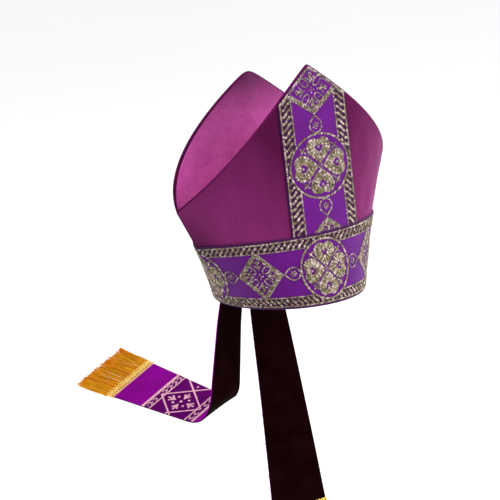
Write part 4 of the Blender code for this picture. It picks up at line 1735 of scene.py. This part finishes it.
def build_welt(crown, hand):
    """Fine rolled welt that closes a side seam above the band."""
    shape = crown.shape
    top = float(crown.band_top(FRONT, np.array(float(hand))))
    z = np.linspace(top + shape.gap, shape.corner_height - shape.gap, 41)
    x = hand * (crown.seam_x(z) - shape.welt_radius * 0.7)
    path = np.stack([x, 0 * z, z], axis=-1)
    piping_cord(f"{HANDS[hand]}_seam_welt", path, shape.welt_radius, 0.06)


# Length of the strip beside a side seam that carries its stitches
SEAM_RUN = 0.05


def build_seams(crown, bead):
    """Welts on the side seams above the band, and prick stitches beside them."""
    colours = settings().colours
    shape = crown.shape
    finish = thread_finish("seam thread", colours.satin_deep, colours.satin, colours.piping,
                           metallic=0.0, roughness=0.5)
    for hand in (RIGHT, LEFT):
        build_welt(crown, hand)
    for side in (FRONT, BACK):
        u = np.linspace(0.0, SEAM_RUN, 12)[:, None]
        v = np.linspace(-1, 1, 3)[None, :]
        for hand in (RIGHT, LEFT):
            top = crown.band_top(side, np.array(hand * 0.97))
            z = top + 0.002 + u * (shape.corner_height - float(top) - 0.006) / SEAM_RUN
            s = hand * (0.978 + 0.004 * v) + 0 * z
            points = crown.at_depth(side, s, z + 0 * v, -0.00005)
            facing = np.cross(points[1, 1] - points[0, 1], points[0, 2] - points[0, 1])
            if facing @ crown.outward(side, s[0, 1], z[0, 0]) < 0:
                points = points[:, ::-1]
            strip = Strip(u[:, 0], v[0] * 0.0005, points)
            rows = rope([(0.001, 0), (0.049, 0)], thickness=0.0009)[::3]
            name = f"{SIDES[side]}_{HANDS[hand]}_seam_stitches"
            sew(name, strip, rows, bead, finish)


# The floor's rim curves up in steps: rise, and growth of the ring
FLOOR_STEPS = ((0.08, 1.09), (0.22, 1.08), (0.40, 1.07), (0.60, 1.05), (0.9, 1.03))


def build_stage():
    """Pale seamless floor, soft lights and the camera."""
    scene = bpy.context.scene
    studio = settings().studio
    level = float(CAD_BOX[0][2]) - studio.floor_drop
    deselect()
    bpy.ops.mesh.primitive_circle_add(
        vertices=128, radius=studio.floor_radius, fill_type="TRIFAN", location=(0, 0, level)
    )
    floor = bpy.context.object
    floor.name = "studio_floor"
    with editing():
        bpy.ops.mesh.region_to_loop()
        for rise, grow in FLOOR_STEPS:
            bpy.ops.mesh.extrude_edges_move(TRANSFORM_OT_translate={"value": (0, 0, rise)})
            bpy.ops.transform.resize(value=(grow, grow, 1), center_override=(0, 0, level))
        bpy.ops.mesh.select_all(action="SELECT")
        bpy.ops.mesh.normals_make_consistent(inside=False)
    bpy.ops.object.transform_apply(location=True)
    if floor.data.polygons[0].normal.z < 0:
        floor.data.flip_normals()
    floor.data.shade_smooth()
    floor.data.materials.append(floor_finish("studio floor", settings().colours.floor))

    add_light("key_light", (1.6, -2.9, 1.7), 1.3, studio.key)
    add_light("fill_light", (-2.8, -1.9, 0.9), 2.4, studio.fill)
    add_light("back_light", (0.8, 2.6, 1.9), 1.8, studio.fill * 1.5)
    add_light("top_light", (-0.6, -0.4, 2.8), 2.0, studio.fill * 1.2)
    world = bpy.data.worlds.new("studio")
    scene.world = world
    world.use_nodes = True
    scene.view_settings.view_transform = "Standard"
    sky = world.node_tree.nodes["Background"]
    sky.inputs["Color"].default_value = (1.0, 1.0, 1.0, 1.0)
    sky.inputs["Strength"].default_value = studio.sky
    add_camera(studio)


def add_light(name, place, width, power):
    """Square area light that is aimed at the mitre."""
    deselect()
    bpy.ops.object.light_add(type="AREA", location=place)
    light = bpy.context.object
    light.name = name
    aim = Vector((0, 0, 0.10)) - Vector(place)
    light.rotation_euler = aim.to_track_quat("-Z", "Y").to_euler()
    light.data.size = width
    light.data.energy = power


def add_camera(studio):
    """Camera at the picture's angle, aimed so that no lens shift is needed."""
    a, e, r = studio.azimuth, studio.elevation, studio.roll
    back = Vector((math.sin(a) * math.cos(e), -math.cos(a) * math.cos(e), math.sin(e)))
    level_right = Vector((math.cos(a), math.sin(a), 0))
    level_up = back.cross(level_right)
    right = level_right * math.cos(r) - level_up * math.sin(r)
    up = level_right * math.sin(r) + level_up * math.cos(r)
    target = Vector((0, 0, studio.target_height))
    place = target + back * studio.distance
    aim = target + right * studio.aim_right + up * studio.aim_up
    towards = (place - aim).normalized()
    right = up.cross(towards).normalized()
    up = towards.cross(right)
    deselect()
    bpy.ops.object.camera_add()
    camera = bpy.context.object
    camera.name = "picture_camera"
    axes = Matrix((right, up, towards)).transposed()
    camera.matrix_world = Matrix.Translation(place) @ axes.to_4x4()
    camera.data.lens = studio.lens
    camera.data.sensor_width = 36.0
    camera.data.clip_end = 60.0
    camera.data.dof.use_dof = False
    bpy.context.scene.camera = camera


class PanelsOperator(bpy.types.Operator):
    """Sew the two satin panels with their rolled edges"""

    bl_idname = "mitre.add_panels"
    bl_label = "Satin Panels"

    def execute(self, context):
        crown = Crown()
        for side in (FRONT, BACK):
            build_panel(crown, side)
        return {"FINISHED"}


class GussetOperator(bpy.types.Operator):
    """Fold the lining between the horns"""

    bl_idname = "mitre.add_gusset"
    bl_label = "Crown Gusset"

    def execute(self, context):
        build_gusset(Crown())
        return {"FINISHED"}


class BandOperator(bpy.types.Operator):
    """Lay the galloon round the rim, with its gold borders and figures"""

    bl_idname = "mitre.add_band"
    bl_label = "Head Band"

    def execute(self, context):
        build_band(Crown(), model_bead())
        return {"FINISHED"}


class OrphreysOperator(bpy.types.Operator):
    """Lay the upright galloons, with their gold borders and figures"""

    bl_idname = "mitre.add_orphreys"
    bl_label = "Orphreys"

    def execute(self, context):
        for side in (FRONT, BACK):
            build_orphrey(Crown(), side, model_bead())
        return {"FINISHED"}


class LappetsOperator(bpy.types.Operator):
    """Hang the lappets with their embroidery and fringes"""

    bl_idname = "mitre.add_lappets"
    bl_label = "Lappets"

    def execute(self, context):
        for hand in (RIGHT, LEFT):
            build_lappet(Crown(), hand, model_bead())
        return {"FINISHED"}


class SeamsOperator(bpy.types.Operator):
    """Close the side seams with welts, and stitch beside them"""

    bl_idname = "mitre.add_seams"
    bl_label = "Seam Stitches"

    def execute(self, context):
        build_seams(Crown(), model_bead())
        return {"FINISHED"}


class StageOperator(bpy.types.Operator):
    """Set up the floor, the lights and the camera"""

    bl_idname = "mitre.add_stage"
    bl_label = "Studio"

    def execute(self, context):
        build_stage()
        return {"FINISHED"}


OPERATORS = (
    PanelsOperator,
    GussetOperator,
    BandOperator,
    OrphreysOperator,
    LappetsOperator,
    SeamsOperator,
    StageOperator,
)


class MitrePanel(bpy.types.Panel):
    """Lists the mitre's steps in the order in which they are made"""

    bl_idname = "MITRE_PT_steps"
    bl_label = "Bishop Mitre"
    bl_space_type = "VIEW_3D"
    bl_region_type = "UI"
    bl_category = "Mitre"

    def draw(self, context):
        for operator in OPERATORS:
            self.layout.operator(operator.bl_idname)


GROUPS = {
    "mitre_shape": MitreShape,
    "mitre_galloon": GalloonPattern,
    "mitre_lappet": LappetShape,
    "mitre_colours": MitreColours,
    "mitre_studio": MitreStudio,
}


def register():
    for group in GROUPS.values():
        bpy.utils.register_class(group)
    for name, group in GROUPS.items():
        setattr(bpy.types.Scene, name, PointerProperty(type=group))
    for kind in (*OPERATORS, MitrePanel):
        bpy.utils.register_class(kind)


def unregister():
    for kind in (MitrePanel, *OPERATORS[::-1]):
        bpy.utils.unregister_class(kind)
    for name, group in GROUPS.items():
        delattr(bpy.types.Scene, name)
        bpy.utils.unregister_class(group)


def main():
    register()
    bpy.ops.mitre.add_panels()
    bpy.ops.mitre.add_gusset()
    bpy.ops.mitre.add_band()
    bpy.ops.mitre.add_orphreys()
    bpy.ops.mitre.add_lappets()
    bpy.ops.mitre.add_seams()
    bpy.ops.mitre.add_stage()


if __name__ == "__main__":
    main()
